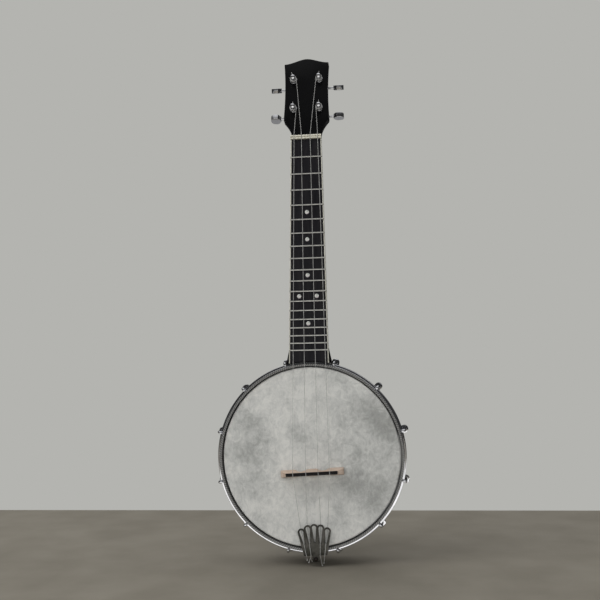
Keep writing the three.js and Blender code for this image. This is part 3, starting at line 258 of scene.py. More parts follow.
# Tuners
TUNER_OFFSET = 15.2
POST_RADIUS = 2.8
POST_TOP_RADIUS = 2.6
POST_DOME_SHARE = 0.7
POST_HOLE_RADIUS = 1.1
POST_RUN_GAP = 0.35
POST_CAP_HEIGHT = 2.2
POST_DOME = 1.6
POST_HOLE_LAND = 1.9
BUSHING_FLANGE_WIDTH = 0.45
BUSHING_FLANGE_HEIGHT = 1.2
BUSHING_WALL = 1
BUSHING_DEPTH = 4.5
BUSHING_ROUNDS = (0.1, 0.1, 0, 0.15, 0.5, 0.2)
PLATE_THICKNESS = 1
PLATE_EDGE_ROUND = 0.25
PLATE_UPPER_REACH = 11
PLATE_LOWER_REACH = 15
PLATE_SCREW_RADIUS = 1.5
PLATE_SCREW_HEIGHT = 0.9
PLATE_SCREW_PLACES = (8, -12.6)
PLATE_SCREW_SLOT = 0.4
SLOT_FLOOR_SHARE = 0.45
LUG_THICKNESS = 1.5
LUG_HALF_LENGTH = 2.6
GEAR_TEETH = 14
GEAR_RADIUS = 3.3
GEAR_THICKNESS = 3
WORM_RADIUS = 1.7
WORM_HALF_LENGTH = 2.7
WORM_COLUMNS = 36
WORM_CORE_SHARE = 1.25
TOOTH_ADDENDUM = 0.42
TOOTH_DEDENDUM = 0.55
TOOTH_TIP_SHARE = 0.2
TOOTH_ROOT_SHARE = 0.48
GEAR_SCREW_RADIUS = 2
GEAR_SCREW_HEIGHT = 1.1
GEAR_SCREW_FLAT_SHARE = 0.7
SHAFT_RADIUS = 1.4
SHAFT_COLLAR_RADIUS = 2
SHAFT_COLLAR_LENGTH = 1
SHAFT_COLLAR_ROUND = 0.3
BUTTON_GAP = 4.65
BUTTON_LENGTH = 12
BUTTON_HALF_WIDTH = 6.5
BUTTON_THICKNESS = 5.6
BUTTON_NECK = 2
BUTTON_EDGE_ROUND = 1.2
BUTTON_PLACE_SHARES = (0.15, 0.12, 0.45, 0.9, 1)
BUTTON_SPREAD_SHARE = 0.1
BUTTON_TIP_SHARE = 0.6
GEAR_PITCH = 2 * math.pi * GEAR_RADIUS / GEAR_TEETH
PLATE_BACK = -(HEAD_THICKNESS + SEAT_GAP + PLATE_THICKNESS)
WORM_HEIGHT = PLATE_BACK - SEAT_GAP - GEAR_THICKNESS / 2
WORM_OFFSET = GEAR_RADIUS + WORM_RADIUS
BUTTON_START = HEAD_SHOULDER - TUNER_OFFSET + BUTTON_GAP
LUG_FACE = WORM_HALF_LENGTH + SEAT_GAP + LUG_THICKNESS

# Bridge
BRIDGE_HEIGHT = 16
BRIDGE_LENGTH = 70
BRIDGE_TOP_LENGTH = 58
BRIDGE_FOOT_THICKNESS = 8
BRIDGE_TOP_THICKNESS = 3.6
BRIDGE_END_HEIGHT = 6
BRIDGE_END_ROUND = 2
BRIDGE_EDGE_ROUND = 0.35
BRIDGE_FOOT_HEIGHT = 3.4
BRIDGE_ARCH_PLACE = 12.25
BRIDGE_ARCH_HALF_WIDTH = 7.5
BRIDGE_ARCH_HEIGHT = 9.6
BRIDGE_ARCH_STEPS = 18
BRIDGE_CAP_HEIGHT = 3.2
BRIDGE_CAP_ROUND = 0.5
BRIDGE_TURN = math.radians(2.8)
BRIDGE_SETBACK = 1
BRIDGE_OFFSET = 1.6
BRIDGE_SLOT_DEPTH = 0.5

# Tailpiece
TAIL_OFFSET = 3.8
TAIL_TURN = math.radians(2.6)
TAIL_RISE = 4
TAIL_THICKNESS = 1.8
TAIL_HOOP_GAP = 1
TAIL_LENGTH = 34.1
TAIL_BOTTOM_HALF_WIDTH = 13
TAIL_EDGE_ROUND = 0.3
TAIL_ROUNDS = (2.2, 0.6, 1.2)
LOBE_COUNT = 5
LOBE_PITCH = 7.15
LOBE_RADIUS = 4.15
LOBE_ARC_RADIUS = 26
SLOT_TOP = 2.3
SLOT_BOTTOM = 0.85
SLOT_FEET = (14, 14, 15.4, 14, 14)
RIDGE_RADIUS = 0.48
RIDGE_OFFSET = 0.72
RIDGE_FOOT_LEAD = 1.5
TONGUE_HALF_WIDTH = 3.8
TONGUE_LENGTH = 7
TAIL_BOLT_REACH = 3.9
TAIL_BOLT_RADIUS = 1.5
TAIL_BOLT_HEAD_RADIUS = 2.6
TAIL_BOLT_HEAD_HEIGHT = 2
HANGER_THICKNESS = 1.4
HANGER_RUN_GAP = 0.4
HANGER_FOOT_DROP = 10
HANGER_BEND_DROP = 7
HANGER_EYE_RADIUS = 6
HANGER_ROUNDS = (1, 2, 3, 0.3, 0.3, 2, 3, 0.5, 0.3, 0.3)
TAIL_UNDERSIDE = FILM_TOP + TAIL_RISE
TAIL_BOTTOM = HOOP_OUTER + TAIL_HOOP_GAP
TAIL_TOP = TAIL_BOTTOM - TAIL_LENGTH
TONGUE_END = TAIL_BOTTOM + TONGUE_LENGTH
TAIL_BOLT_PLACE = TAIL_BOTTOM + TAIL_BOLT_REACH

# Strings. A knot's steps are in its own radius
STRING_RADIUS = 0.4
FILAMENT_RADIUS = 0.34
STRING_BEND = 2.5
NUT_STRING_PLACES = (-13.6, -5, 5.2, 13.9)
BRIDGE_STRING_PLACES = (-20.4, -6, 7.6, 20.2)
KNOT_RADIUS = 0.75
KNOT_STEPS = (0, 0.5, 1.5, 2)
KNOT_PLACES = (-10.3, -8.8, 6.3, 8.1)
KNOT_REACH = (5.8, 8.4, 12.4, 9.8)
KNOT_DROP = 2.4
LOOSE_END_STRING = 2
LOOSE_END_START_SHARE = 0.25
LOOSE_END_SHARE = 0.62
LOOSE_END_ASIDE_SHARE = 1.25
LOOSE_END_RADIUS_SHARE = 0.95
SLOT_ENTRY_SHARE = 0.8
SLOT_EXIT_SHARE = 0.15
FRONT_BAR_LEAD = 2
WINDING_TURNS = 2
WINDING_STEPS = 28
WINDING_SPACE = 0.5
WINDING_START = 0.6
WINDING_LEAVE = 1
WINDING_OVERLAP = math.radians(16)
OVERLAP_RADIUS_SHARE = 0.92
WINDING_RADIUS = POST_RADIUS + SEAT_GAP + STRING_RADIUS
WINDING_PITCH = 2 * STRING_RADIUS + WINDING_SPACE
WINDING_FOOT = SEAT_GAP + BUSHING_FLANGE_HEIGHT + WINDING_START + STRING_RADIUS
HOLE_HEIGHT = WINDING_FOOT + (WINDING_TURNS + 1) * WINDING_PITCH + POST_HOLE_RADIUS
POST_CAP_FOOT = HOLE_HEIGHT + POST_HOLE_LAND


# Frames, in millimetres

def shift(x, y, z):
    return Matrix.Translation((x, y, z))


def turn(angle, axis):
    return Matrix.Rotation(angle, 4, axis)


POT = shift(0, 0, RIM_MIDDLE) @ turn(math.pi / 2, "X")
NECK = POT @ shift(0, NECK_ROOT, BOARD_TOP) @ turn(-NECK_PITCH, "X")
HEAD = NECK @ shift(0, NUT_DISTANCE, -HEAD_DROP) @ turn(-HEAD_TILT, "X")
BRIDGE_FOOT = (BRIDGE_OFFSET, -BRIDGE_PLACE - BRIDGE_SETBACK, FILM_TOP + SEAT_GAP)
BRIDGE = POT @ shift(*BRIDGE_FOOT) @ turn(BRIDGE_TURN, "Z")
TAIL_HINGE = POT @ shift(TAIL_OFFSET, -TAIL_BOLT_PLACE, TAIL_UNDERSIDE) @ turn(TAIL_TURN, "Z")
TAIL = TAIL_HINGE @ shift(0, TAIL_BOLT_PLACE, 0)
ALONG_Y = turn(-math.pi / 2, "X")

# Strings 1 to 4 run from left to right across the neck, the two outer ones to the lower posts
TUNERS = [
    {"number": 1, "side": -1, "place": 40.2, "button_turn": 0.08, "string_end": (0.3, 3)},
    {"number": 2, "side": -1, "place": 78.1, "button_turn": -0.5, "string_end": (-1.8, 4)},
    {"number": 3, "side": 1, "place": 78.1, "button_turn": 0.5, "string_end": (0.5, 3.4)},
    {"number": 4, "side": 1, "place": 40.2, "button_turn": 0.15, "string_end": (0, 3.8)},
]
for tuner in TUNERS:
    tuner["frame"] = HEAD @ shift(tuner["side"] * TUNER_OFFSET, tuner["place"], 0)


def hook_frame(i):
    return POT @ turn(-2 * math.pi * (i + 0.5) / HOOK_COUNT, "Z")


def from_to(point, start, end):
    """A point of one frame, in another frame."""
    return end.inverted() @ start @ Vector(point)


# Forms: lists of points in millimetres and of faces

def spaced(low, high, steps):
    return [low + (high - low) * i / steps for i in range(steps + 1)]


def between(low, high, share):
    return low + (high - low) * share


def rectangle(left, right, low, high):
    return [(left, low), (right, low), (right, high), (left, high)]


def mirrored(half):
    """A whole outline from the points of its right half."""
    return [tuple(point) for point in half] + [(-x, y) for x, y in half[::-1] if x != 0]


def arc(centre, radius, start, end, steps=12):
    x, y = centre
    return [(x + radius * math.cos(a), y + radius * math.sin(a)) for a in spaced(start, end, steps)]


def bezier(points, steps=10):
    """Points on a Bezier curve of any degree, both ends included."""
    curve = []
    for t in spaced(0, 1, steps):
        row = [Vector(point) for point in points]
        while len(row) > 1:
            row = [a.lerp(b, t) for a, b in zip(row, row[1:])]
        curve.append(row[0])
    return curve


def rounded(corners, radius, steps=5, closed=True):
    """The corners' outline with each corner made round. radius is one number, or one for each corner."""
    radii = radius if isinstance(radius, (list, tuple)) else [radius] * len(corners)
    outline = []
    last = len(corners) - 1
    for i, corner in enumerate(corners):
        here = Vector(corner)
        if radii[i] == 0 or (not closed and i in (0, last)):
            outline.append(here)
            continue
        before = Vector(corners[i - 1]) - here
        after = Vector(corners[(i + 1) % len(corners)]) - here
        reach = min(radii[i] / math.tan(before.angle(after) / 2), before.length / 2, after.length / 2)
        start = here + before.normalized() * reach
        outline += bezier([start, here, here + after.normalized() * reach], steps)
    return outline


def lathe(profile, segments=ROUND_SEGMENTS, closed=False):
    """A solid of revolution about z from (radius, height) pairs."""
    count = len(profile)
    spans = count if closed else count - 1
    points = []
    faces = []
    for k in range(segments):
        angle = 2 * math.pi * k / segments
        points += [(radius * math.cos(angle), radius * math.sin(angle), height) for radius, height in profile]
        near = k * count
        far = (k + 1) % segments * count
        faces += [(near + j, far + j, far + (j + 1) % count, near + (j + 1) % count) for j in range(spans)]
    return points, faces


def bar(radius, low, high, segments=ROUND_SEGMENTS):
    return lathe(rectangle(0, radius, low, high), segments)


def bar_along_y(radius, low, high, height, segments=SMALL_SEGMENTS, across=0):
    return moved(bar(radius, low, high, segments), shift(across, 0, height) @ ALONG_Y)


def loft(rings):
    """A closed skin over rings of equally many points."""
    count = len(rings[0])
    points = [tuple(point) for ring in rings for point in ring]
    faces = [tuple(range(count))[::-1], tuple(range(len(points) - count, len(points)))]
    for row in range(len(rings) - 1):
        near = row * count
        faces += [(near + k, near + (k + 1) % count, near + count + (k + 1) % count, near + count + k)
                  for k in range(count)]
    return points, faces


def prism(outline, low, high):
    """An outline in x and y, extruded along z."""
    return loft([[(x, y, z) for x, y in outline] for z in (low, high)])


def prism_across(outline, half_width):
    """An outline in y and z, extruded to both sides along x."""
    return loft([[(x, y, z) for y, z in outline] for x in (-half_width, half_width)])


def prism_deep(outline, half_depth):
    """An outline in x and z, extruded to both sides along y."""
    return loft([[(x, y, z) for x, z in outline] for y in (-half_depth, half_depth)])


def sweep(path, radius, sides=TUBE_SIDES):
    """A tube along a path. radius is one number, or one for each point."""
    path = [Vector(point) for point in path]
    radii = radius if isinstance(radius, list) else [radius] * len(path)
    normal = (path[1] - path[0]).orthogonal()
    rings = []
    for i, point in enumerate(path):
        tangent = (path[min(i + 1, len(path) - 1)] - path[max(i - 1, 0)]).normalized()
        normal = (normal - tangent * normal.dot(tangent)).normalized()
        across = tangent.cross(normal)
        turns = [2 * math.pi * k / sides for k in range(sides)]
        rings.append([point + (normal * math.cos(a) + across * math.sin(a)) * radii[i] for a in turns])
    return loft(rings)


def domed(path, radius, steps=4):
    """The path and radii of a tube that ends in a dome."""
    path = [Vector(point) for point in path]
    heading = (path[-1] - path[-2]).normalized()
    tip = path[-1]
    angles = spaced(0, DOME_END, steps)[1:]
    path += [tip + heading * radius * math.sin(a) for a in angles]
    return path, [radius] * (len(path) - steps) + [radius * math.cos(a) for a in angles]


def moved(form, matrix):
    points, faces = form
    return [tuple(matrix @ Vector(point)) for point in points], faces


def joined(forms):
    """Forms that don't touch, as one form."""
    points = []
    faces = []
    for form_points, form_faces in forms:
        faces += [tuple(len(points) + k for k in face) for face in form_faces]
        points += form_points
    return points, faces


# Meshes

def mesh_of(form):
    """A clean closed mesh in metres from a form in millimetres."""
    points, faces = form
    mesh = bpy.data.meshes.new("form")
    mesh.from_pydata([Vector(point) * MM for point in points], [], faces)
    work = bmesh.new()
    work.from_mesh(mesh)
    bmesh.ops.remove_doubles(work, verts=work.verts, dist=MERGE_DISTANCE * MM)
    bmesh.ops.dissolve_degenerate(work, edges=work.edges, dist=MERGE_DISTANCE * MM)
    bmesh.ops.recalc_face_normals(work, faces=work.faces)
    work.to_mesh(mesh)
    work.free()
    return mesh


def modified(mesh, kind, **settings):
    """The mesh that a modifier makes of a mesh."""
    holder = bpy.data.objects.new("holder", mesh)
    bpy.context.scene.collection.objects.link(holder)
    modifier = holder.modifiers.new(kind, kind)
    for name, value in settings.items():
        setattr(modifier, name, value)
    graph = bpy.context.evaluated_depsgraph_get()
    result = bpy.data.meshes.new_from_object(holder.evaluated_get(graph))
    bpy.data.objects.remove(holder)
    return result


def combined(mesh, form_or_mesh, operation):
    """The union, difference or intersection of a mesh and a form or another mesh."""
    other = mesh_of(form_or_mesh) if isinstance(form_or_mesh, tuple) else form_or_mesh
    tool = bpy.data.objects.new("tool", other)
    bpy.context.scene.collection.objects.link(tool)
    result = modified(mesh, "BOOLEAN", object=tool, operation=operation, solver="EXACT")
    bpy.data.objects.remove(tool)
    return result


def cut(mesh, *forms):
    for form in forms:
        mesh = combined(mesh, form, "DIFFERENCE")
    return mesh


def grown(mesh, *forms):
    for form in forms:
        mesh = combined(mesh, form, "UNION")
    return mesh


def bevelled(mesh, width, segments=2):
    """The mesh with its sharp edges rounded off."""
    return modified(mesh, "BEVEL", width=width * MM, segments=segments, limit_method="ANGLE",
                    angle_limit=BEVEL_ANGLE, harden_normals=False)


def hexagon(radius, low, high):
    """A hexagonal head or nut about z, with its corners turned off at both ends."""
    flat = radius * math.cos(math.pi / 6)
    slope = (radius - flat) * HEXAGON_CHAMFER_SHARE
    skin = lathe([(0, low), (flat, low), (radius, low + slope), (radius, high - slope), (flat, high),
                  (0, high)])
    return combined(mesh_of(bar(radius * HEXAGON_SPARE_SHARE, low, high, 6)), skin, "INTERSECT")


def metres(matrix):
    """A matrix of turns and shifts in millimetres, for meshes and objects in metres."""
    location, rotation, _ = matrix.decompose()
    return Matrix.Translation(location * MM) @ rotation.to_matrix().to_4x4()


def piece(name, mesh, place, finish, replaced=(), body="instrument"):
    """Puts a mesh in a frame as a piece that rides on a body and stands for some CAD nodes."""
    material, slot = FINISHES[finish]
    mesh.name = name
    mesh.materials.clear()
    mesh.materials.append(material)
    mesh.polygons.foreach_set("use_smooth", [True] * len(mesh.polygons))
    mesh.set_sharp_from_angle(angle=SHARP_ANGLE)
    obj = bpy.data.objects.new(name, mesh)
    bpy.context.scene.collection.objects.link(obj)
    obj.matrix_world = metres(place)
    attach(obj, body)
    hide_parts(*replaced)


# Materials

def srgb(red, green, blue):
    """A colour from its 0 to 255 values."""
    def linear(value):
        share = value / 255
        return share / 12.92 if share < 0.04045 else ((share + 0.055) / 1.055) ** 2.4
    return linear(red), linear(green), linear(blue), 1


def feed(tree, socket, value):
    """Links a node's output to a socket, or sets the socket to a plain value."""
    if isinstance(value, bpy.types.NodeSocket):
        tree.links.new(value, socket)
    else:
        socket.default_value = value


def add_node(tree, kind, inputs=None, **settings):
    node = tree.nodes.new(kind)
    for name, value in settings.items():
        setattr(node, name, value)
    for socket, value in (inputs or {}).items():
        feed(tree, node.inputs[socket], value)
    return node


def add_ramp(tree, factor, stops):
    """Colours or grey values along a factor, from (place, value) pairs."""
    node = add_node(tree, "ShaderNodeValToRGB", {0: factor})
    elements = node.color_ramp.elements
    while len(elements) < len(stops):
        elements.new(0.5)
    for element, (place, value) in zip(elements, stops):
        element.position = place
        element.color = value if isinstance(value, tuple) else (value, value, value, 1)
    return node.outputs[0]


class Look:
    """A procedural material on one Principled shader, with object coordinates in metres."""

    def __init__(self, name, colour, **sockets):
        self.material = bpy.data.materials.new(name)
        self.material.use_nodes = True
        self.tree = self.material.node_tree
        self.shader = self.tree.nodes["Principled BSDF"]
        self.set("Base Color", colour)
        for socket, value in sockets.items():
            self.set(socket.replace("_", " "), value)
        self.place = self.add("ShaderNodeTexCoord").outputs["Object"]

    def set(self, socket, value):
        feed(self.tree, self.shader.inputs[socket], value)

    def add(self, kind, inputs=None, **settings):
        return add_node(self.tree, kind, inputs, **settings)

    def math(self, operation, a, b=0.0):
        return self.add("ShaderNodeMath", {0: a, 1: b}, operation=operation).outputs[0]

    def noise(self, scale, detail=3.0, stretch=(1, 1, 1), shape=0.55, offset=(0, 0, 0), swirl=0.0,
              place=None):
        """Noise with scale in cells per metre, along stretched coordinates."""
        mapping = {"Vector": place or self.place, "Scale": stretch, "Location": offset}
        along = self.add("ShaderNodeMapping", mapping).outputs[0]
        return self.add("ShaderNodeTexNoise", {"Vector": along, "Scale": scale, "Detail": detail,
                                               "Roughness": shape, "Distortion": swirl}).outputs[0]

    def fade(self, value, none, full):
        """0 where a value reaches none, 1 where it reaches full, and a smooth slope between."""
        span = {"Value": value, "From Min": none, "From Max": full}
        return self.add("ShaderNodeMapRange", span, interpolation_type="SMOOTHSTEP").outputs[0]

    def ramp(self, factor, *stops):
        return add_ramp(self.tree, factor, stops)

    def tones(self, factor, *stops):
        """Colours along a factor, from (place, red, green, blue) stops."""
        return self.ramp(factor, *[(place, srgb(*colour)) for place, *colour in stops])

    def mix(self, factor, a, b):
        return self.add("ShaderNodeMix", {0: factor, 6: a, 7: b}, data_type="RGBA").outputs[2]

    def stained(self, base, stain, noise, start, end, amount):
        """A base colour, and up to an amount of a stain where a noise climbs from start to end."""
        return self.mix(self.ramp(noise, (start, 0.0), (end, amount)), base, stain)

    def paint(self, factor, *stops):
        self.set("Base Color", self.tones(factor, *stops))

    def roughen(self, noise, low, high, start=NOISE_LOW):
        self.set("Roughness", self.ramp(noise, (start, low), (NOISE_HIGH, high)))

    def bump(self, height, depth, strength=1.0):
        """Relief of some depth in millimetres."""
        node = self.add("ShaderNodeBump", {"Height": height, "Distance": depth * MM, "Strength": strength})
        self.set("Normal", node.outputs[0])

    def round_z(self):
        """The distance from the z axis in metres, the angle about it, and the place along it."""
        x, y, z = self.add("ShaderNodeSeparateXYZ", {0: self.place}).outputs
        squares = self.math("ADD", self.math("MULTIPLY", x, x), self.math("MULTIPLY", y, y))
        return self.math("SQRT", squares), self.math("ARCTAN2", y, x), z


def film_look():
    """A fibrous film: wisps and flecks over a few wide clouds, listed one by one, of mottling and painted
    shade.
    """
    look = Look("head_film", srgb(204, 204, 200), Roughness=0.6, Specular_IOR_Level=0.2)
    wisps = look.noise(92, detail=8, shape=0.72, offset=(0.31, 0.12, 0), swirl=1.5)
    flecks = look.noise(30, detail=4, shape=0.6, swirl=0.4)
    fibres = look.noise(330, detail=4, stretch=(1, 0.45, 1), shape=0.7, swirl=0.6)
    # The clouds darken the film's tone: partly its own mottling, partly painted shade
    cloud = 0.0
    for x, y, reach, depth in FILM_MOTTLE_AND_SHADE:
        middle = (x * MM, y * MM, FILM_TOP * MM)
        away = look.add("ShaderNodeVectorMath", {0: look.place, 1: middle}, operation="DISTANCE")
        near = look.fade(away.outputs["Value"], reach * MM, CLOUD_CORE_SHARE * reach * MM)
        cloud = look.math("ADD", cloud, look.math("MULTIPLY", near, depth))
    lightness = 0.0
    for noise, share in zip((wisps, flecks, fibres), FILM_NOISE_SHARES):
        lightness = look.math("ADD", lightness, look.math("MULTIPLY", noise, share))
    lightness = look.math("SUBTRACT", lightness, cloud)
    look.paint(lightness, (0.12, 134, 135, 132), (0.3, 163, 164, 161), (0.42, 190, 191, 188),
               (0.53, 211, 211, 207), (0.68, 227, 226, 221))
    look.roughen(flecks, 0.52, 0.68)
    look.bump(fibres, 0.04, 0.5)
    return look.material


def metal_look(name, colour, smooth, dull, scratch=0.02):
    """Bright metal with a fine grain, and a darker bloom where it was handled less."""
    look = Look(name, colour, Metallic=1.0)
    grain = look.noise(900, stretch=(1, 1, 0.25))
    bloom = look.noise(60, detail=4)
    darker = tuple(channel * BLOOM_SHADE_SHARE for channel in colour[:3]) + (1,)
    look.set("Base Color", look.stained(colour, darker, bloom, 0.45, 0.75, 0.25))
    look.roughen(bloom, smooth, dull, start=0.35)
    look.bump(grain, scratch, 0.35)
    return look.material


def hoop_look():
    """Plating that is brushed and dull on the top band, and polished on the ledge and the wall."""
    look = Look("hoop_plating", srgb(205, 206, 208), Metallic=1.0)
    radius, angle, _ = look.round_z()
    polished = look.fade(radius, POLISH_START * MM, POLISH_FULL * MM)
    spiral = look.math("ADD", look.math("MULTIPLY", angle, HATCH_BY_TURN),
                       look.math("MULTIPLY", radius, HATCH_BY_RADIUS))
    hatch = look.math("SINE", spiral)
    patches = look.noise(28, detail=4)
    brushed = look.tones(hatch, (0.3, 96, 96, 95), (0.7, 152, 152, 150))
    brushed = look.stained(brushed, srgb(78, 77, 75), look.noise(420), 0.4, 0.8, 0.5)
    bright = look.tones(patches, (0.38, 198, 199, 203), (0.62, 232, 232, 235))
    look.set("Base Color", look.mix(polished, brushed, bright))
    look.set("Metallic", look.ramp(polished, (0, 0.35), (1, 1.0)))
    dull = look.ramp(patches, (NOISE_LOW, 0.44), (NOISE_HIGH, 0.34))
    look.set("Roughness", look.mix(polished, dull, (0.1, 0.1, 0.1, 1)))
    look.bump(look.math("MULTIPLY", hatch, look.math("SUBTRACT", 1.0, polished)), 0.04, 0.6)
    return look.material


def rim_look():
    """Stained plywood: plies by radius at the cut edge, grain along the bend elsewhere."""
    look = Look("rim_wood", srgb(58, 34, 24), Roughness=0.4, Coat_Weight=0.3, Coat_Roughness=0.2)
    radius, angle, height = look.round_z()
    plies = look.math("SINE", look.math("MULTIPLY", radius, 2 * math.pi / (PLY_PAIR * MM)))
    along = look.math("MULTIPLY", angle, GRAIN_BY_TURN)
    bend = look.add("ShaderNodeCombineXYZ", {0: along, 1: radius, 2: height})
    grain = look.noise(45, detail=6, shape=0.62, swirl=0.6, place=bend.outputs[0])
    streak = look.tones(grain, (0.3, 34, 18, 12), (0.52, 70, 40, 27), (0.7, 98, 58, 38))
    ply = look.tones(plies, (0.35, 46, 27, 19), (0.6, 84, 52, 35))
    look.set("Base Color", look.mix(PLY_SHARE, streak, ply))
    look.roughen(grain, 0.34, 0.5)
    look.bump(grain, 0.06, 0.4)
    return look.material


def lacquer_look():
    """Thick black lacquer with faint ripples and dust."""
    look = Look("neck_lacquer", srgb(7, 7, 8), Roughness=0.3, Specular_IOR_Level=0.12)
    ripple = look.noise(55, detail=2)
    look.paint(look.noise(700, detail=4, shape=0.7), (0.55, 7, 7, 8), (0.8, 17, 17, 18))
    look.roughen(ripple, 0.26, 0.4, start=0.35)
    look.bump(ripple, 0.08, 0.3)
    return look.material


def board_look():
    """Dark dyed rosewood with open pores along the neck."""
    look = Look("board_wood", srgb(32, 31, 34), Roughness=0.55, Specular_IOR_Level=0.12)
    grain = look.noise(240, detail=6, stretch=(1, 0.08, 1), shape=0.65)
    pores = look.noise(900, detail=2, stretch=(1, 0.1, 1))
    tone = look.tones(grain, (0.32, 22, 22, 25), (0.55, 32, 31, 34), (0.75, 44, 41, 42))
    look.set("Base Color", look.stained(tone, srgb(15, 15, 17), pores, 0.6, 0.72, 0.7))
    look.roughen(grain, 0.45, 0.65)
    look.bump(pores, 0.05, 0.5)
    return look.material


def ivory_look(name, dark, light, cloud):
    """Grained celluloid, slightly yellowed."""
    look = Look(name, light, Roughness=0.4)
    clouds = look.noise(60)
    tone = look.ramp(look.noise(500, detail=2, stretch=(1, 0.06, 1)), (0.35, dark), (0.65, light))
    look.set("Base Color", look.stained(tone, cloud, clouds, 0.4, 0.75, 0.5))
    look.roughen(clouds, 0.32, 0.5)
    return look.material


def maple_look():
    """Maple with fine lines along the bridge and small flecks."""
    look = Look("maple", srgb(192, 171, 154), Roughness=0.5)
    grain = look.noise(260, detail=5, stretch=(0.08, 1, 1), shape=0.6)
    flecks = look.noise(700, detail=2, stretch=(0.3, 1, 1))
    tone = look.tones(grain, (0.3, 168, 146, 128), (0.5, 192, 171, 154), (0.72, 209, 193, 180))
    look.set("Base Color", look.stained(tone, srgb(150, 112, 86), flecks, 0.62, 0.75, 0.45))
    look.roughen(grain, 0.42, 0.58)
    look.bump(grain, 0.05, 0.4)
    return look.material


def ebony_look():
    look = Look("ebony", srgb(16, 15, 16), Roughness=0.42, Specular_IOR_Level=0.15)
    grain = look.noise(420, detail=5, stretch=(0.08, 1, 1), shape=0.6)
    look.paint(grain, (0.35, 10, 9, 10), (0.7, 26, 22, 21))
    look.roughen(grain, 0.36, 0.52)
    look.bump(grain, 0.03, 0.4)
    return look.material


def pewter_look():
    """Cast nickel with darker random patches and a sandy skin."""
    look = Look("cast_nickel", srgb(80, 79, 74), Metallic=1.0)
    cast = look.noise(420, detail=5, shape=0.65)
    tone = look.tones(look.noise(90), (0.35, 60, 60, 55), (0.65, 86, 84, 80))
    look.set("Base Color", look.stained(tone, srgb(50, 49, 44), cast, 0.5, 0.8, 0.6))
    look.roughen(cast, 0.3, 0.5)
    look.bump(cast, 0.06, 0.5)
    return look.material


def nylon_look():
    """Clear filament that lets half of what lies behind it through."""
    look = Look("nylon", srgb(195, 195, 193), Roughness=0.3, Alpha=0.5)
    scuffs = look.noise(300)
    look.paint(scuffs, (0.35, 178, 178, 176), (0.7, 212, 212, 209))
    look.roughen(scuffs, 0.25, 0.4)
    return look.material


def pearl_look():
    """Mother of pearl: bands of pale green, pink and silver."""
    look = Look("pearl", srgb(214, 216, 210), Roughness=0.22, Coat_Weight=0.4, Coat_Roughness=0.1)
    bands = look.noise(380, stretch=(1, 0.4, 1))
    look.paint(bands, (0.36, 150, 158, 156), (0.5, 212, 212, 206), (0.62, 190, 178, 182))
    return look.material


# Each finish is a material and the slot that it stands for
FINISHES = {
    "film": (film_look(), "head_film"),
    "hoop": (hoop_look(), "chrome"),
    "rim": (rim_look(), "rim_wood"),
    "lacquer": (lacquer_look(), "neck_lacquer"),
    "board": (board_look(), "fretboard_wood"),
    "ivory": (ivory_look("ivoroid", srgb(196, 193, 175), srgb(220, 218, 205), srgb(184, 178, 156)),
              "ivoroid"),
    # The bindings' ivoroid: a greyer, slightly darker copy of the nut's, as painted shade along the neck's
    # edges
    "binding": (ivory_look("shaded_ivoroid", srgb(196, 194, 182), srgb(214, 213, 203), srgb(180, 176, 160)),
                "ivoroid"),
    "maple": (maple_look(), "maple"),
    "ebony": (ebony_look(), "ebony"),
    "pewter": (pewter_look(), "cast_nickel"),
    "nylon": (nylon_look(), "nylon"),
    "pearl": (pearl_look(), "ivoroid"),
    "chrome": (metal_look("chrome", srgb(214, 215, 218), 0.1, 0.24), "chrome"),
    "fret": (metal_look("fret_nickel", srgb(216, 215, 210), 0.3, 0.44), "steel"),
    "steel": (metal_look("steel", srgb(158, 160, 163), 0.28, 0.46, scratch=0.05), "steel"),
    "dark_steel": (metal_look("dark_steel", srgb(62, 57, 55), 0.3, 0.45, scratch=0.05), "steel"),
}


# Pot

def pot_envelope():
    """The space of rim and hoops, for cutting the heel and the fretboard's end."""
    hoop_reach = HOOP_OUTER + SEAT_GAP
    rim_reach = RIM_OUTER + SEAT_GAP
    step = FLESH_HOOP_BOTTOM - SEAT_GAP
    top = HOOP_TOP + RIM_HEIGHT
    return lathe([(0, -OVERRUN), (rim_reach, -OVERRUN), (rim_reach, step), (hoop_reach, step),
                  (hoop_reach, top), (0, top)], POT_SEGMENTS)


def make_rim():
    rounds = [RIM_BACK_ROUND, RIM_BACK_ROUND, RIM_EDGE_ROUND / 2, RIM_EDGE_ROUND]
    profile = rounded(rectangle(RIM_INNER, RIM_OUTER, 0, RIM_HEIGHT), rounds)
    rim = mesh_of(lathe(profile, POT_SEGMENTS, closed=True))
    reach = RIM_OUTER + OVERRUN
    hole = bar_along_y(SCREW_RADIUS + SCREW_CLEARANCE, RIM_INNER - OVERRUN, reach, SHOE_MIDDLE)
    holes = [moved(hole, POT.inverted() @ hook_frame(i)) for i in range(HOOK_COUNT)]
    rim = cut(rim, joined(holes), bar_along_y(STUD_BORE, -reach, reach, ROD_HEIGHT))
    piece("wooden_rim", rim, POT, "rim", ["rim"])


def make_film():
    centre = (FILM_RADIUS - FILM_SHOULDER, FILM_TOP - FILM_SHOULDER)
    profile = [(0, FILM_TOP - FILM_THICKNESS)]
    profile += arc(centre, FILM_SHOULDER - FILM_THICKNESS, math.pi / 2, 0, BEND_STEPS)
    profile += [(FILM_RADIUS - FILM_THICKNESS, FLESH_HOOP_BOTTOM), (FILM_RADIUS, FLESH_HOOP_BOTTOM)]
    profile += arc(centre, FILM_SHOULDER, 0, math.pi / 2, BEND_STEPS)
    profile.append((0, FILM_TOP))
    piece("drum_skin", mesh_of(lathe(profile, POT_SEGMENTS)), POT, "film", ["head_film"])


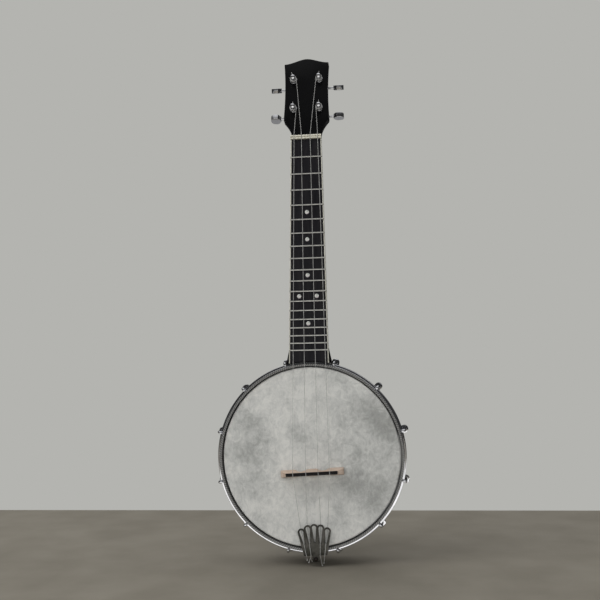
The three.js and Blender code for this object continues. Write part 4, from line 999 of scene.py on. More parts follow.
def make_hoops():
    inner = FILM_RADIUS + SEAT_GAP
    wire = rectangle(inner, inner + FLESH_HOOP_WALL, FLESH_HOOP_BOTTOM, FLESH_HOOP_BOTTOM + FLESH_HOOP_HEIGHT)
    flesh_hoop = mesh_of(lathe(rounded(wire, FLESH_HOOP_ROUND), POT_SEGMENTS, closed=True))
    piece("flesh_ring", flesh_hoop, POT, "steel", ["flesh_hoop"])
    corners = [(HOOP_INNER, HOOP_BOTTOM), (HOOP_OUTER, HOOP_BOTTOM), (HOOP_OUTER, LEDGE_TOP),
               (HOOP_BAND, LEDGE_TOP), (HOOP_BAND, HOOP_TOP), (HOOP_INNER, HOOP_TOP)]
    hoop = mesh_of(lathe(rounded(corners, HOOP_ROUNDS), POT_SEGMENTS, closed=True))
    piece("stretcher_band", hoop, POT, "hoop", ["tension_hoop"])


def hook_mesh():
    """A claw with a domed tip, a bend, a rod, its nut and a threaded tail."""
    claw_height = LEDGE_TOP + SEAT_GAP + HOOK_RADIUS
    nut_top = SHOE_MIDDLE - SHOE_ARM_HEIGHT / 2 - SEAT_GAP
    nut_foot = nut_top - HOOK_NUT_HEIGHT
    rod_end = nut_foot - HOOK_TAIL
    rod_start = nut_foot + HOOK_NUT_HEIGHT / 2
    bend_centre = (HOOK_CIRCLE - HOOK_BEND, claw_height - HOOK_BEND)
    bend = arc(bend_centre, HOOK_BEND, 0, math.pi / 2, HOOK_BEND_STEPS)
    path = [(0, HOOK_CIRCLE, rod_start), *[(0, y, z) for y, z in bend],
            (0, HOOP_BAND + HOOK_CLAW_GAP + HOOK_RADIUS, claw_height)]
    rod = sweep(*domed(path, HOOK_RADIUS), THICK_TUBE_SIDES)
    root = HOOK_RADIUS - THREAD_DEPTH
    thread = [(0, rod_end)]
    for ridge in range(int((rod_start - rod_end) / THREAD_PITCH)):
        foot = rod_end + ridge * THREAD_PITCH
        thread += [(root, foot), (HOOK_RADIUS * THREAD_CREST_SHARE, foot + THREAD_PITCH / 2)]
    thread += [(root, rod_start + THREAD_PITCH), (0, rod_start + THREAD_PITCH)]
    tail = moved(lathe(thread, THICK_TUBE_SIDES), shift(0, HOOK_CIRCLE, 0))
    nut = hexagon(HOOK_NUT_RADIUS, nut_foot, nut_top)
    nut.transform(shift(0, HOOK_CIRCLE * MM, 0))
    return grown(mesh_of(rod), tail, nut)


def shoe_mesh():
    """A bracket: base, arm with a round nose and the hook's hole, and the screw that holds it."""
    seat = RIM_OUTER + SEAT_GAP
    face = seat + SHOE_BASE_THICKNESS
    half_width = SHOE_WIDTH / 2
    half_base = SHOE_BASE_HEIGHT / 2
    half_arm = SHOE_ARM_HEIGHT / 2
    edge = [(seat, half_base), (face, half_base), (face + SHOE_FILLET / 4, half_arm),
            (HOOK_CIRCLE + half_width, half_arm)]
    rounds = [0, SHOE_BASE_ROUND, 3 * SHOE_FILLET, SHOE_NOSE_ROUND]
    side = [(y, SHOE_MIDDLE - z) for y, z in edge] + [(y, SHOE_MIDDLE + z) for y, z in edge[::-1]]
    side = rounded(side, rounds + rounds[::-1], steps=6)
    plan = [(half_width, seat - OVERRUN), *arc((0, HOOK_CIRCLE), half_width, 0, math.pi, 20),
            (-half_width, seat - OVERRUN)]
    body = combined(mesh_of(prism_across(side, SHOE_WIDTH)),
                    prism(plan, SHOE_MIDDLE - SHOE_BASE_HEIGHT, SHOE_MIDDLE + SHOE_BASE_HEIGHT), "INTERSECT")
    reach = face + SHOE_FILLET
    hole = bar(HOOK_RADIUS + SCREW_CLEARANCE, SHOE_MIDDLE - reach, SHOE_MIDDLE + reach, SMALL_SEGMENTS)
    body = cut(bevelled(body, SHOE_EDGE_ROUND, 3), moved(hole, shift(0, HOOK_CIRCLE, 0)))
    head_face = RIM_INNER - 2 * SEAT_GAP
    shank = bar_along_y(SCREW_RADIUS, head_face - SEAT_GAP, seat + SEAT_GAP, SHOE_MIDDLE)
    head = hexagon(SCREW_HEAD_RADIUS, head_face - SCREW_HEAD_HEIGHT, head_face)
    head.transform(shift(0, 0, SHOE_MIDDLE * MM) @ ALONG_Y)
    return grown(body, shank, head)


def make_hooks():
    hook = hook_mesh()
    shoe = shoe_mesh()
    for i in range(HOOK_COUNT):
        number = f"{i + 1:02d}"
        piece(f"j_hook_{number}", hook, hook_frame(i), "chrome", [f"hook_{number}"])
        piece(f"bracket_{number}", shoe, hook_frame(i), "chrome", [f"shoe_{number}"])


def make_rod():
    wall = RIM_INNER - 2 * SEAT_GAP
    rod = grown(
        mesh_of(bar(ROD_RADIUS, -wall, wall)),
        hexagon(ROD_COLLAR_RADIUS, wall - ROD_COLLAR_LENGTH, wall),
        hexagon(ROD_COLLAR_RADIUS, -wall, ROD_COLLAR_LENGTH - wall),
        bar(STUD_RADIUS, wall - OVERRUN, RIM_OUTER + STUD_REACH, SMALL_SEGMENTS),
    )
    rod = cut(rod, bar(STUD_BORE, -wall - OVERRUN, BOLT_DEPTH - wall, SMALL_SEGMENTS))
    along_y = POT @ shift(0, 0, ROD_HEIGHT) @ ALONG_Y
    piece("pot_rod", rod, along_y, "steel", ["coordinator_rod"])
    strap_face = -(RIM_OUTER + HANGER_RUN_GAP + HANGER_THICKNESS + SEAT_GAP)
    shank = bar(STUD_RADIUS, strap_face - SEAT_GAP, BOLT_DEPTH - SEAT_GAP - RIM_INNER, SMALL_SEGMENTS)
    bolt = grown(hexagon(END_BOLT_HEAD_RADIUS, strap_face - END_BOLT_HEAD_HEIGHT, strap_face), shank)
    piece("tail_screw", bolt, along_y, "steel", ["end_bolt"])


# Neck

def board_half_width(along):
    return between(BOARD_HALF_WIDTH_AT_ROOT, BOARD_HALF_WIDTH_AT_NUT, along / NUT_DISTANCE)


def neck_half_width(along):
    return board_half_width(along) + BINDING_WIDTH


def neck_section(along, half_width, depth, fullness=1.0, drop=0.0):
    """A cross-section with a flat top, and a back that is more pointed where fullness is larger."""
    top = -(BOARD_THICKNESS + SEAT_GAP + drop)
    ring = []
    for angle in spaced(0, math.pi, NECK_SECTION_STEPS):
        across = math.copysign(abs(math.cos(angle)) ** fullness, math.cos(angle))
        down = math.sin(angle) ** fullness if angle < math.pi else 0
        ring.append((half_width * across, along, top - (depth + top) * down))
    return ring


def shaft_form():
    """The heel, which flares between two hooks, its sweep up to the shaft, the shaft and the throat."""
    heel_half_width = HOOK_CIRCLE * math.sin(math.pi / HOOK_COUNT) - HOOK_RADIUS - HEEL_HOOK_GAP
    heel_flare = heel_half_width - neck_half_width(0)

    def width_at(along):
        return neck_half_width(along) + heel_flare * min(1, max(0, 1 - along / HEEL_FLARE_LENGTH))

    rings = [neck_section(along, width_at(along), HEEL_DEPTH, HEEL_FULLNESS)
             for along in (-2 * OVERRUN, 0, HEEL_LENGTH / 2)]
    for share in spaced(0, 1, HEEL_STEPS):
        along = HEEL_LENGTH + HEEL_SWEEP * share
        depth = between(NECK_DEPTH_AT_HEEL, HEEL_DEPTH, (1 - share) ** HEEL_SWEEP_POWER)
        rings.append(neck_section(along, width_at(along), depth, between(1, HEEL_FULLNESS, 1 - share)))
    for share in spaced(0, 1, SHAFT_STEPS)[1:]:
        along = between(HEEL_LENGTH + HEEL_SWEEP, NUT_DISTANCE, share)
        depth = between(NECK_DEPTH_AT_HEEL, NECK_DEPTH_AT_NUT, share)
        rings.append(neck_section(along, neck_half_width(along), depth))
    for share in spaced(0, 1, THROAT_STEPS):
        along = NUT_DISTANCE + NUT_THICKNESS + THROAT_LENGTH * share
        depth = between(HEAD_DROP + HEAD_THICKNESS, NECK_DEPTH_AT_NUT, 1 - share)
        half_width = HEAD_START - THROAT_NARROWING * share
        rings.append(neck_section(along, half_width, depth, drop=THROAT_DROP * share))
    return loft(rings)


def headstock_outline():
    """A concave throat from the nut to the shoulder, a waist up to the corner, and an ogee to the peak."""
    start = NUT_THICKNESS + HEAD_SHELF_GAP
    throat = HEAD_SHOULDER_PLACE - start
    waist = HEAD_CORNER_PLACE - HEAD_SHOULDER_PLACE
    swell = HEAD_SHOULDER - HEAD_START
    throat_line = [(HEAD_START + x * swell, start + y * throat) for x, y in THROAT_SHARES]
    shoulder_line = [(HEAD_START + x * swell, start + y * throat) for x, y in SHOULDER_SHARES]
    waist_line = [(HEAD_SHOULDER - x * swell, HEAD_SHOULDER_PLACE + y * waist) for x, y in WAIST_SHARES]
    ogee = [(HEAD_CORNER * x, HEAD_CORNER_PLACE + HEAD_PEAK_RISE * y) for x, y in OGEE_SHARES]
    half = bezier(throat_line, 10) + bezier(shoulder_line, 6)[1:] + bezier(waist_line + ogee[:1], 12)[1:]
    return mirrored(half + bezier(ogee, 14)[1:])


def tuner_hole():
    """Wide for the bushing's sleeve, narrow for the post."""
    post = POST_RADIUS + POST_RUN_GAP
    sleeve = post + BUSHING_WALL + SEAT_GAP
    sleeve_end = -(BUSHING_DEPTH + SEAT_GAP)
    back = -HEAD_THICKNESS - OVERRUN
    return lathe([(0, back), (post, back), (post, sleeve_end), (sleeve, sleeve_end), (sleeve, OVERRUN),
                  (0, OVERRUN)], SMALL_SEGMENTS)


def make_neck():
    to_neck = NECK.inverted()
    block = bevelled(mesh_of(prism(headstock_outline(), -HEAD_THICKNESS, 0)), HEAD_EDGE_ROUND, 3)
    block.transform(metres(to_neck @ HEAD))
    neck = grown(mesh_of(shaft_form()), block)
    bore = moved(bar(STUD_BORE, 0, RIM_OUTER + STUD_REACH + HEEL_BORE_SPARE, SMALL_SEGMENTS),
                 to_neck @ POT @ shift(0, 0, ROD_HEIGHT) @ ALONG_Y)
    holes = [moved(tuner_hole(), to_neck @ tuner["frame"]) for tuner in TUNERS]
    neck = cut(neck, moved(pot_envelope(), to_neck @ POT), bore, joined(holes))
    neck.transform(metres(POT.inverted() @ NECK))
    piece("carved_neck", neck, POT, "lacquer", ["neck"])


def fret_place(number):
    return NUT_DISTANCE - SCALE_LENGTH * (1 - 2 ** (-number / FRETS_PER_OCTAVE))


def strip_outline(inner, outer, side=1):
    """The plan of a strip of the board from its tucked end to the nut."""
    low = -2 * OVERRUN
    high = NUT_DISTANCE - SEAT_GAP
    corners = ((inner, low), (outer, low), (outer, high), (inner, high))
    return [(side * width_at(along), along) for width_at, along in corners]


def make_fretboard():
    envelope = moved(pot_envelope(), NECK.inverted() @ POT)
    outline = strip_outline(lambda along: -board_half_width(along), board_half_width)
    board = cut(mesh_of(prism(outline, -BOARD_THICKNESS, 0)), envelope)
    piece("dark_board", board, NECK, "board", ["fretboard"])
    for name, side in (("left", -1), ("right", 1)):
        outline = strip_outline(lambda along: board_half_width(along) + SEAT_GAP, neck_half_width, side)
        strip = cut(mesh_of(prism(outline, -BOARD_THICKNESS, -BINDING_DROP)), envelope)
        piece(f"edge_strip_{name}", bevelled(strip, BINDING_ROUND), NECK, "binding", [f"binding_{name}"])


def make_frets():
    """Crowned wires across board and bindings, with sloped ends."""
    crown = mirrored([(FRET_WIDTH / 2, -FRET_SINK), (FRET_TOP_WIDTH / 2, FRET_HEIGHT)])
    crown = rounded(crown, [0, FRET_ROUND, FRET_ROUND, 0])
    for number in range(1, FRET_COUNT + 1):
        place = fret_place(number)
        end = neck_half_width(place)
        full = end - FRET_END_SLOPE
        rises = ((-end, FRET_END_RISE_SHARE), (-full, 1), (full, 1), (end, FRET_END_RISE_SHARE))
        wire = loft([[(x, y, -FRET_SINK + (z + FRET_SINK) * rise) for y, z in crown] for x, rise in rises])
        piece(f"fret_{number:02d}", mesh_of(wire), NECK @ shift(0, place, 0), "fret")


def make_dots():
    dot = mesh_of(lathe([(radius * DOT_RADIUS, height) for radius, height in DOT_PROFILE]))
    places = [(number, 0) for number in SINGLE_DOTS] + [(DOUBLE_DOT, -DOT_SPREAD), (DOUBLE_DOT, DOT_SPREAD)]
    for i, (number, across) in enumerate(places):
        middle = (fret_place(number) + fret_place(number - 1)) / 2
        piece(f"dot_{i + 1}", dot, NECK @ shift(across, middle, 0), "pearl")


def string_slots(floor, top, half_length, places):
    """Round-bottomed slots along the strings, for cutting the nut and the bridge's cap."""
    half = STRING_RADIUS + SEAT_GAP / 3
    slot = arc((0, floor + half), half, math.pi, 2 * math.pi, 8) + [(half, top), (-half, top)]
    return joined([moved(prism_deep(slot, half_length), shift(place, 0, 0)) for place in places])


def make_nut():
    """Two cream bands with a seam between them, and a slot for each string."""
    seam_end = NUT_SEAM_PLACE + NUT_SEAM_WIDTH
    profile = [(0, -BOARD_THICKNESS), (NUT_THICKNESS, -BOARD_THICKNESS)]
    profile += bezier([(NUT_THICKNESS * x, NUT_HEIGHT * z) for x, z in NUT_HEAD_SIDE_SHARES], 6)
    profile += [(seam_end, NUT_HEIGHT), (seam_end, NUT_SEAM_FOOT), (NUT_SEAM_PLACE, NUT_SEAM_FOOT),
                (NUT_SEAM_PLACE, NUT_HEIGHT)]
    profile += bezier([(NUT_THICKNESS * x, NUT_HEIGHT * z) for x, z in NUT_BOARD_SIDE_SHARES], 6)
    nut = mesh_of(prism_across(profile, neck_half_width(NUT_DISTANCE)))
    slot_floor = FRET_HEIGHT + NUT_SLOT_LIFT
    nut = cut(nut, string_slots(slot_floor, 2 * NUT_HEIGHT, 2 * NUT_THICKNESS, NUT_STRING_PLACES))
    piece("seamed_nut", nut, NECK @ shift(0, NUT_DISTANCE, 0), "ivory", ["nut"])


# Bridge

def bridge_outline(top):
    """Three feet with two arches between them, sloped ends and a straight top."""
    half = BRIDGE_LENGTH / 2
    outline = [Vector((-half, 0))]
    for middle in (-BRIDGE_ARCH_PLACE, BRIDGE_ARCH_PLACE):
        outline += bezier([(middle - BRIDGE_ARCH_HALF_WIDTH, 0), (middle, 2 * BRIDGE_ARCH_HEIGHT),
                           (middle + BRIDGE_ARCH_HALF_WIDTH, 0)], BRIDGE_ARCH_STEPS)
    end = mirrored([(half, 0), (half, BRIDGE_END_HEIGHT), (BRIDGE_TOP_LENGTH / 2, top)])
    return outline + [Vector((half, 0))] + rounded(end, BRIDGE_END_ROUND, closed=False)[1:-1]


def make_bridge():
    low = BRIDGE_HEIGHT - BRIDGE_CAP_HEIGHT
    top = low - SEAT_GAP
    half_foot = BRIDGE_FOOT_THICKNESS / 2
    half_cap = BRIDGE_TOP_THICKNESS / 2
    half_top = BRIDGE_TOP_LENGTH / 2
    taper = mirrored([(half_foot, -SEAT_GAP), (half_foot, BRIDGE_FOOT_HEIGHT), (half_cap, top + SEAT_GAP)])
    base = combined(mesh_of(prism_deep(bridge_outline(top), half_foot)),
                    prism_across(taper, BRIDGE_LENGTH / 2 + OVERRUN), "INTERSECT")
    piece("footed_bridge", bevelled(base, BRIDGE_EDGE_ROUND), BRIDGE, "maple", ["bridge_base"])
    cap = mirrored([(half_top, low), (half_top - BRIDGE_CAP_HEIGHT / 4, BRIDGE_HEIGHT)])
    cap = bevelled(mesh_of(prism_deep(cap, half_cap)), BRIDGE_CAP_ROUND, 3)
    cap = cut(cap, string_slots(BRIDGE_HEIGHT - BRIDGE_SLOT_DEPTH, 2 * BRIDGE_HEIGHT, BRIDGE_FOOT_THICKNESS,
                                BRIDGE_STRING_PLACES))
    piece("dark_cap", cap, BRIDGE, "ebony", ["bridge_cap"])


# Tailpiece

def lobe_centre(i):
    across = (i - (LOBE_COUNT - 1) / 2) * LOBE_PITCH
    drop = LOBE_ARC_RADIUS - math.sqrt(LOBE_ARC_RADIUS ** 2 - across ** 2)
    return across, -(TAIL_TOP + drop + LOBE_RADIUS)


def fan_across(top, distance):
    """How far from the plate's middle line a lobe's line lies at a distance from the pot's centre."""
    fan_share = TAIL_BOTTOM_HALF_WIDTH / (lobe_centre(LOBE_COUNT - 1)[0] + LOBE_RADIUS)
    length_share = (distance + top[1]) / (TAIL_BOTTOM + top[1])
    return top[0] * between(1, fan_share, length_share)


def slot_outline(i):
    """A slot from the middle of its lobe down along a line of the fan."""
    end = TAIL_BOTTOM - SLOT_FEET[i]
    foot = (fan_across(lobe_centre(i), end), -end)
    return arc(lobe_centre(i), SLOT_TOP, 0, math.pi, 16) + arc(foot, SLOT_BOTTOM, math.pi, 2 * math.pi, 10)


def ridge_form(i):
    """A raised half-round ridge about a slot's head and sides."""
    end = TAIL_BOTTOM - SLOT_FEET[i] + RIDGE_FOOT_LEAD
    across = fan_across(lobe_centre(i), end)
    half_foot = SLOT_BOTTOM + RIDGE_OFFSET
    path = [(across + half_foot, -end), *arc(lobe_centre(i), SLOT_TOP + RIDGE_OFFSET, 0, math.pi, 16),
            (across - half_foot, -end)]
    return sweep([(x, y, TAIL_THICKNESS - RIDGE_RADIUS / 4) for x, y in path], RIDGE_RADIUS)


def make_tailpiece():
    last = lobe_centre(LOBE_COUNT - 1)
    right = [(TONGUE_HALF_WIDTH, -TONGUE_END), (TONGUE_HALF_WIDTH, -TAIL_BOTTOM),
             (TAIL_BOTTOM_HALF_WIDTH, -TAIL_BOTTOM), (last[0] + LOBE_RADIUS, last[1])]
    right += [lobe_centre(i) for i in range(LOBE_COUNT - 2, LOBE_COUNT // 2 - 1, -1)]
    rounds = [*TAIL_ROUNDS, *[0] * (len(right) - len(TAIL_ROUNDS))]
    outline = rounded(mirrored(right), rounds + rounds[-2::-1])
    plate = mesh_of(prism(outline, 0, TAIL_THICKNESS))
    for i in range(LOBE_COUNT):
        plate = grown(plate, moved(bar(LOBE_RADIUS, 0, TAIL_THICKNESS), shift(*lobe_centre(i), 0)))
    slots = [prism(slot_outline(i), -OVERRUN, OVERRUN) for i in range(LOBE_COUNT)]
    hole = moved(bar(TAIL_BOLT_RADIUS + SCREW_CLEARANCE, -OVERRUN, OVERRUN), shift(0, -TAIL_BOLT_PLACE, 0))
    plate = bevelled(cut(plate, joined([*slots, hole])), TAIL_EDGE_ROUND)
    plate = grown(plate, *[ridge_form(i) for i in range(LOBE_COUNT)])
    piece("slotted_plate", plate, TAIL, "pewter", ["tailpiece_plate"])


def make_strap():
    """A tab under the plate's tongue, down outside the hoop and in to the rim, to an eye for the end bolt."""
    tab_top = TAIL_UNDERSIDE - SEAT_GAP
    hoop_side = -(HOOP_OUTER + HANGER_RUN_GAP)
    rim_side = -(RIM_OUTER + HANGER_RUN_GAP)
    bend_top = FLESH_HOOP_BOTTOM - SEAT_GAP
    bend_foot = bend_top - HANGER_BEND_DROP
    foot = ROD_HEIGHT - HANGER_FOOT_DROP
    t = HANGER_THICKNESS
    outline = rounded([
        (hoop_side, tab_top),
        (hoop_side, bend_top),
        (rim_side, bend_foot),
        (rim_side, foot),
        (rim_side - t, foot),
        (rim_side - t, bend_foot - t / 2),
        (hoop_side - t, bend_top - t / 2),
        (hoop_side - t, tab_top - t),
        (-TONGUE_END, tab_top - t),
        (-TONGUE_END, tab_top),
    ], HANGER_ROUNDS)
    strap = mesh_of(prism_across(outline, TONGUE_HALF_WIDTH))
    bore = TAIL_BOLT_RADIUS + SCREW_CLEARANCE
    hole = moved(bar(bore, tab_top - OVERRUN, tab_top + OVERRUN, SMALL_SEGMENTS),
                 shift(0, -TAIL_BOLT_PLACE, 0))
    stud = bar_along_y(STUD_BORE, rim_side - OVERRUN, rim_side + OVERRUN, ROD_HEIGHT, across=-TAIL_OFFSET)
    eye = bar_along_y(HANGER_EYE_RADIUS, rim_side - t, rim_side, ROD_HEIGHT, ROUND_SEGMENTS, -TAIL_OFFSET)
    strap = cut(bevelled(grown(strap, eye), TAIL_EDGE_ROUND), hole, stud)
    piece("tail_strap", strap, POT @ shift(TAIL_OFFSET, 0, 0), "pewter", ["tailpiece_hanger"])


def round_head(radius, height, low, slot_width=0.0):
    """A domed screw head about z, with a slot where a width is given."""
    quarter = arc((0, low), 1, 0, math.pi / 2, BEND_STEPS)
    dome = [(radius * x, low + height * (z - low)) for x, z in quarter]
    head = mesh_of(lathe([(0, low), *dome], SMALL_SEGMENTS))
    if slot_width:
        slot = rectangle(-radius, radius, -slot_width / 2, slot_width / 2)
        head = cut(head, prism(slot, low + height * SLOT_FLOOR_SHARE, low + 2 * height))
    return head


def make_tail_bolt():
    seat = TAIL_THICKNESS + SEAT_GAP
    under = -(2 * SEAT_GAP + HANGER_THICKNESS)
    bolt = grown(
        mesh_of(bar(TAIL_BOLT_RADIUS, under - 2 * TAIL_BOLT_HEAD_HEIGHT, seat + SEAT_GAP, SMALL_SEGMENTS)),
        round_head(TAIL_BOLT_HEAD_RADIUS, TAIL_BOLT_HEAD_HEIGHT, seat),
        hexagon(TAIL_BOLT_HEAD_RADIUS, under - TAIL_BOLT_HEAD_HEIGHT, under),
    )
    piece("strap_bolt", bolt, TAIL_HINGE, "dark_steel", ["tailpiece_bolt"])


# Tuners

def tooth_corners(radius):
    """One tooth's root, tip, tip and root, as radii and shares of the pitch."""
    root = (radius - TOOTH_DEDENDUM, TOOTH_ROOT_SHARE / 2)
    tip = (radius + TOOTH_ADDENDUM, TOOTH_TIP_SHARE / 2)
    return [(root[0], -root[1]), (tip[0], -tip[1]), tip, root]


def worm_form():
    """A single-start thread about z: a strip of rows that climb with the helix, four to a turn."""
    columns = WORM_COLUMNS
    half_turns = math.ceil(WORM_HALF_LENGTH / GEAR_PITCH) + 1
    corners = tooth_corners(WORM_RADIUS)
    rows = 2 * len(corners) * half_turns + 1
    points = []
    for column in range(columns):
        angle = 2 * math.pi * column / columns
        for row in range(rows):
            radius, share = corners[row % 4]
            height = GEAR_PITCH * (row // 4 - half_turns + share + column / columns)
            points.append((radius * math.cos(angle), radius * math.sin(angle), height))

    def at(column, row):
        return column * rows + row if column < columns else row + 4

    faces = []
    for column in range(columns):
        for row in range(rows - 1 if column < columns - 1 else rows - 5):
            faces.append((at(column, row), at(column + 1, row), at(column + 1, row + 1), at(column, row + 1)))
    low_loop = [at(column, 0) for column in range(columns)] + [4, 3, 2, 1]
    high_loop = [at(column, rows - 1) for column in range(columns)]
    high_loop += [at(columns - 1, rows - back) for back in (2, 3, 4, 5)]
    for loop, height in ((low_loop, GEAR_PITCH * (0.5 - half_turns)), (high_loop, GEAR_PITCH * half_turns)):
        points.append((0, 0, height))
        faces += [(len(points) - 1, point, loop[(i + 1) % len(loop)]) for i, point in enumerate(loop)]
    return points, faces


def gear_form():
    """The wheel, whose teeth lean by the thread's lead angle. A gap between two teeth faces the worm."""
    lean = GEAR_PITCH / (2 * math.pi * WORM_RADIUS) / GEAR_RADIUS
    tooth_turn = 2 * math.pi / GEAR_TEETH
    rings = []
    for height in spaced(-GEAR_THICKNESS / 2, GEAR_THICKNESS / 2, 4):
        ring = []
        for tooth in range(GEAR_TEETH):
            for radius, share in tooth_corners(GEAR_RADIUS):
                angle = tooth_turn * (tooth + 0.5 + share) - math.pi / 2 + lean * height
                ring.append((radius * math.cos(angle), radius * math.sin(angle), WORM_HEIGHT + height))
        rings.append(ring)
    return loft(rings)


def post_mesh():
    """The gear's screw, the hub, the post and its domed cap in one profile, with the wheel round the hub."""
    gear_back = WORM_HEIGHT - GEAR_THICKNESS / 2
    screw_back = gear_back - GEAR_SCREW_HEIGHT
    screw_edge = gear_back - GEAR_SCREW_HEIGHT / 2
    cap_top = POST_CAP_FOOT + POST_CAP_HEIGHT
    dome_foot = cap_top - POST_DOME
    shoulder = WORM_HEIGHT + GEAR_THICKNESS / 2 + SEAT_GAP / 2
    hub = GEAR_RADIUS - TOOTH_DEDENDUM - SEAT_GAP
    profile = [
        (0, screw_back),
        (GEAR_SCREW_RADIUS * GEAR_SCREW_FLAT_SHARE, screw_back),
        (GEAR_SCREW_RADIUS, screw_edge),
        (GEAR_SCREW_RADIUS, gear_back + SEAT_GAP),
        (hub, gear_back + SEAT_GAP),
        (hub, shoulder),
        (POST_RADIUS, shoulder),
        (POST_RADIUS, POST_CAP_FOOT - SEAT_GAP),
        (POST_TOP_RADIUS, POST_CAP_FOOT),
    ]
    dome = [(POST_TOP_RADIUS, dome_foot), (POST_DOME_SHARE * POST_TOP_RADIUS, cap_top), (0, cap_top)]
    profile += [tuple(point) for point in bezier(dome, 8)]
    post = grown(mesh_of(lathe(profile)), gear_form())
    hole = bar_along_y(POST_HOLE_RADIUS, -OVERRUN, OVERRUN, HOLE_HEIGHT, THICK_TUBE_SIDES)
    slot = rectangle(-OVERRUN, OVERRUN, -GEAR_SCREW_RADIUS / 6, GEAR_SCREW_RADIUS / 6)
    return cut(post, hole, prism(slot, screw_back - GEAR_SCREW_HEIGHT, screw_edge))


def bushing_mesh():
    inner = POST_RADIUS + POST_RUN_GAP
    sleeve = inner + BUSHING_WALL
    flange = sleeve + BUSHING_FLANGE_WIDTH
    top = SEAT_GAP + BUSHING_FLANGE_HEIGHT
    corners = [(inner, -BUSHING_DEPTH), (sleeve, -BUSHING_DEPTH), (sleeve, SEAT_GAP), (flange, SEAT_GAP),
               (flange - BUSHING_FLANGE_HEIGHT / 3, top), (inner, top)]
    return mesh_of(lathe(rounded(corners, BUSHING_ROUNDS), closed=True))


def plate_mesh():
    """The plate behind the headstock, with two lugs that carry the worm's shaft."""
    upper = (0, PLATE_UPPER_REACH - LUG_FACE)
    lower = (0, LUG_FACE - PLATE_LOWER_REACH)
    outline = arc(upper, LUG_FACE, 0, math.pi, 20) + arc(lower, LUG_FACE, math.pi, 2 * math.pi, 20)
    plate = bevelled(mesh_of(prism(outline, PLATE_BACK, PLATE_BACK + PLATE_THICKNESS)), PLATE_EDGE_ROUND)
    lug_foot = PLATE_BACK + PLATE_THICKNESS / 2
    lug = [(LUG_HALF_LENGTH - WORM_OFFSET, lug_foot),
           *arc((-WORM_OFFSET, WORM_HEIGHT), LUG_HALF_LENGTH, 0, -math.pi, 14),
           (-WORM_OFFSET - LUG_HALF_LENGTH, lug_foot)]
    for side in (-1, 1):
        middle = side * (LUG_FACE - LUG_THICKNESS / 2)
        plate = grown(plate, moved(prism_across(lug, LUG_THICKNESS / 2), shift(middle, 0, 0)))
    reach = LUG_FACE + OVERRUN
    room_reach = WORM_HALF_LENGTH + SEAT_GAP
    worm_axis = shift(0, -WORM_OFFSET, WORM_HEIGHT) @ turn(math.pi / 2, "Y")
    shaft_hole = moved(bar(SHAFT_RADIUS + SEAT_GAP, -reach, reach, SMALL_SEGMENTS), worm_axis)
    room = moved(bar(WORM_RADIUS + TOOTH_ADDENDUM + SEAT_GAP, -room_reach, room_reach), worm_axis)
    return cut(plate, shaft_hole, room, bar(POST_RADIUS + POST_RUN_GAP, -HEAD_THICKNESS - OVERRUN, 0))


def button_mesh():
    """A flat button, whose outline in x and z is widest near its outer end, with rounded edges."""
    places = [BUTTON_START + share * BUTTON_LENGTH for share in BUTTON_PLACE_SHARES]
    root, waist, widest, shoulder, tip = places
    wide = BUTTON_HALF_WIDTH
    spread = BUTTON_NECK + BUTTON_SPREAD_SHARE * wide
    side = bezier([(BUTTON_NECK, BUTTON_START), (spread, root), (wide, waist), (wide, widest)], 12)
    side += bezier([(wide, widest), (wide, shoulder), (BUTTON_TIP_SHARE * wide, tip), (0, tip)], 14)[1:]
    return bevelled(mesh_of(prism_deep(mirrored(side), BUTTON_THICKNESS / 2)), BUTTON_EDGE_ROUND, 4)


def knob_mesh(tuner):
    """Shaft, worm and button in one, built along z and then laid along x."""
    collar_face = LUG_FACE + SEAT_GAP
    shoulder = WORM_HALF_LENGTH + SEAT_GAP / 2
    core = WORM_RADIUS - TOOTH_DEDENDUM * WORM_CORE_SHARE
    worm = combined(mesh_of(moved(worm_form(), turn(math.pi / 2, "Z"))),
                    bar(2 * WORM_RADIUS, -WORM_HALF_LENGTH, WORM_HALF_LENGTH), "INTERSECT")
    button = button_mesh()
    button.transform(turn(tuner["button_turn"], "Z"))
    collar = lathe(rounded([(0, 0), (SHAFT_COLLAR_RADIUS, 0), (SHAFT_COLLAR_RADIUS, SHAFT_COLLAR_LENGTH),
                            (0, SHAFT_COLLAR_LENGTH)], SHAFT_COLLAR_ROUND, closed=False))
    knob = grown(
        worm,
        bar(core, -shoulder - SEAT_GAP, shoulder + SEAT_GAP),
        bar(SHAFT_RADIUS, -collar_face - SEAT_GAP, -shoulder),
        moved(collar, shift(0, 0, -collar_face - SHAFT_COLLAR_LENGTH)),
        bar(SHAFT_RADIUS, shoulder, BUTTON_START + BUTTON_NECK),
        moved(collar, shift(0, 0, collar_face)),
        button,
    )
    knob.transform(shift(0, -WORM_OFFSET * MM, WORM_HEIGHT * MM) @ turn(tuner["side"] * math.pi / 2, "Y"))
    return knob


def make_tuners():
    post = post_mesh()
    bushing = bushing_mesh()
    plate = plate_mesh()
    screw = round_head(PLATE_SCREW_RADIUS, PLATE_SCREW_HEIGHT, 0, PLATE_SCREW_SLOT)
    for tuner in TUNERS:
        number = tuner["number"]
        place = tuner["frame"]
        piece(f"sleeve_{number}", bushing, place, "chrome", [f"tuner_bushing_{number}"])
        piece(f"gear_plate_{number}", plate, place, "chrome", [f"tuner_plate_{number}"])
        for name, y in zip(("upper", "lower"), PLATE_SCREW_PLACES):
            back = place @ shift(0, y, PLATE_BACK) @ turn(math.pi, "X") @ turn(number + y, "Z")
            piece(f"plate_screw_{number}_{name}", screw, back, "steel")
        piece(f"capstan_{number}", post, place, "chrome", [f"tuner_post_{number}"], f"post_{number}")
        piece(f"worm_and_button_{number}", knob_mesh(tuner), place, "chrome", [f"tuner_knob_{number}"],
              f"knob_{number}")


# Strings

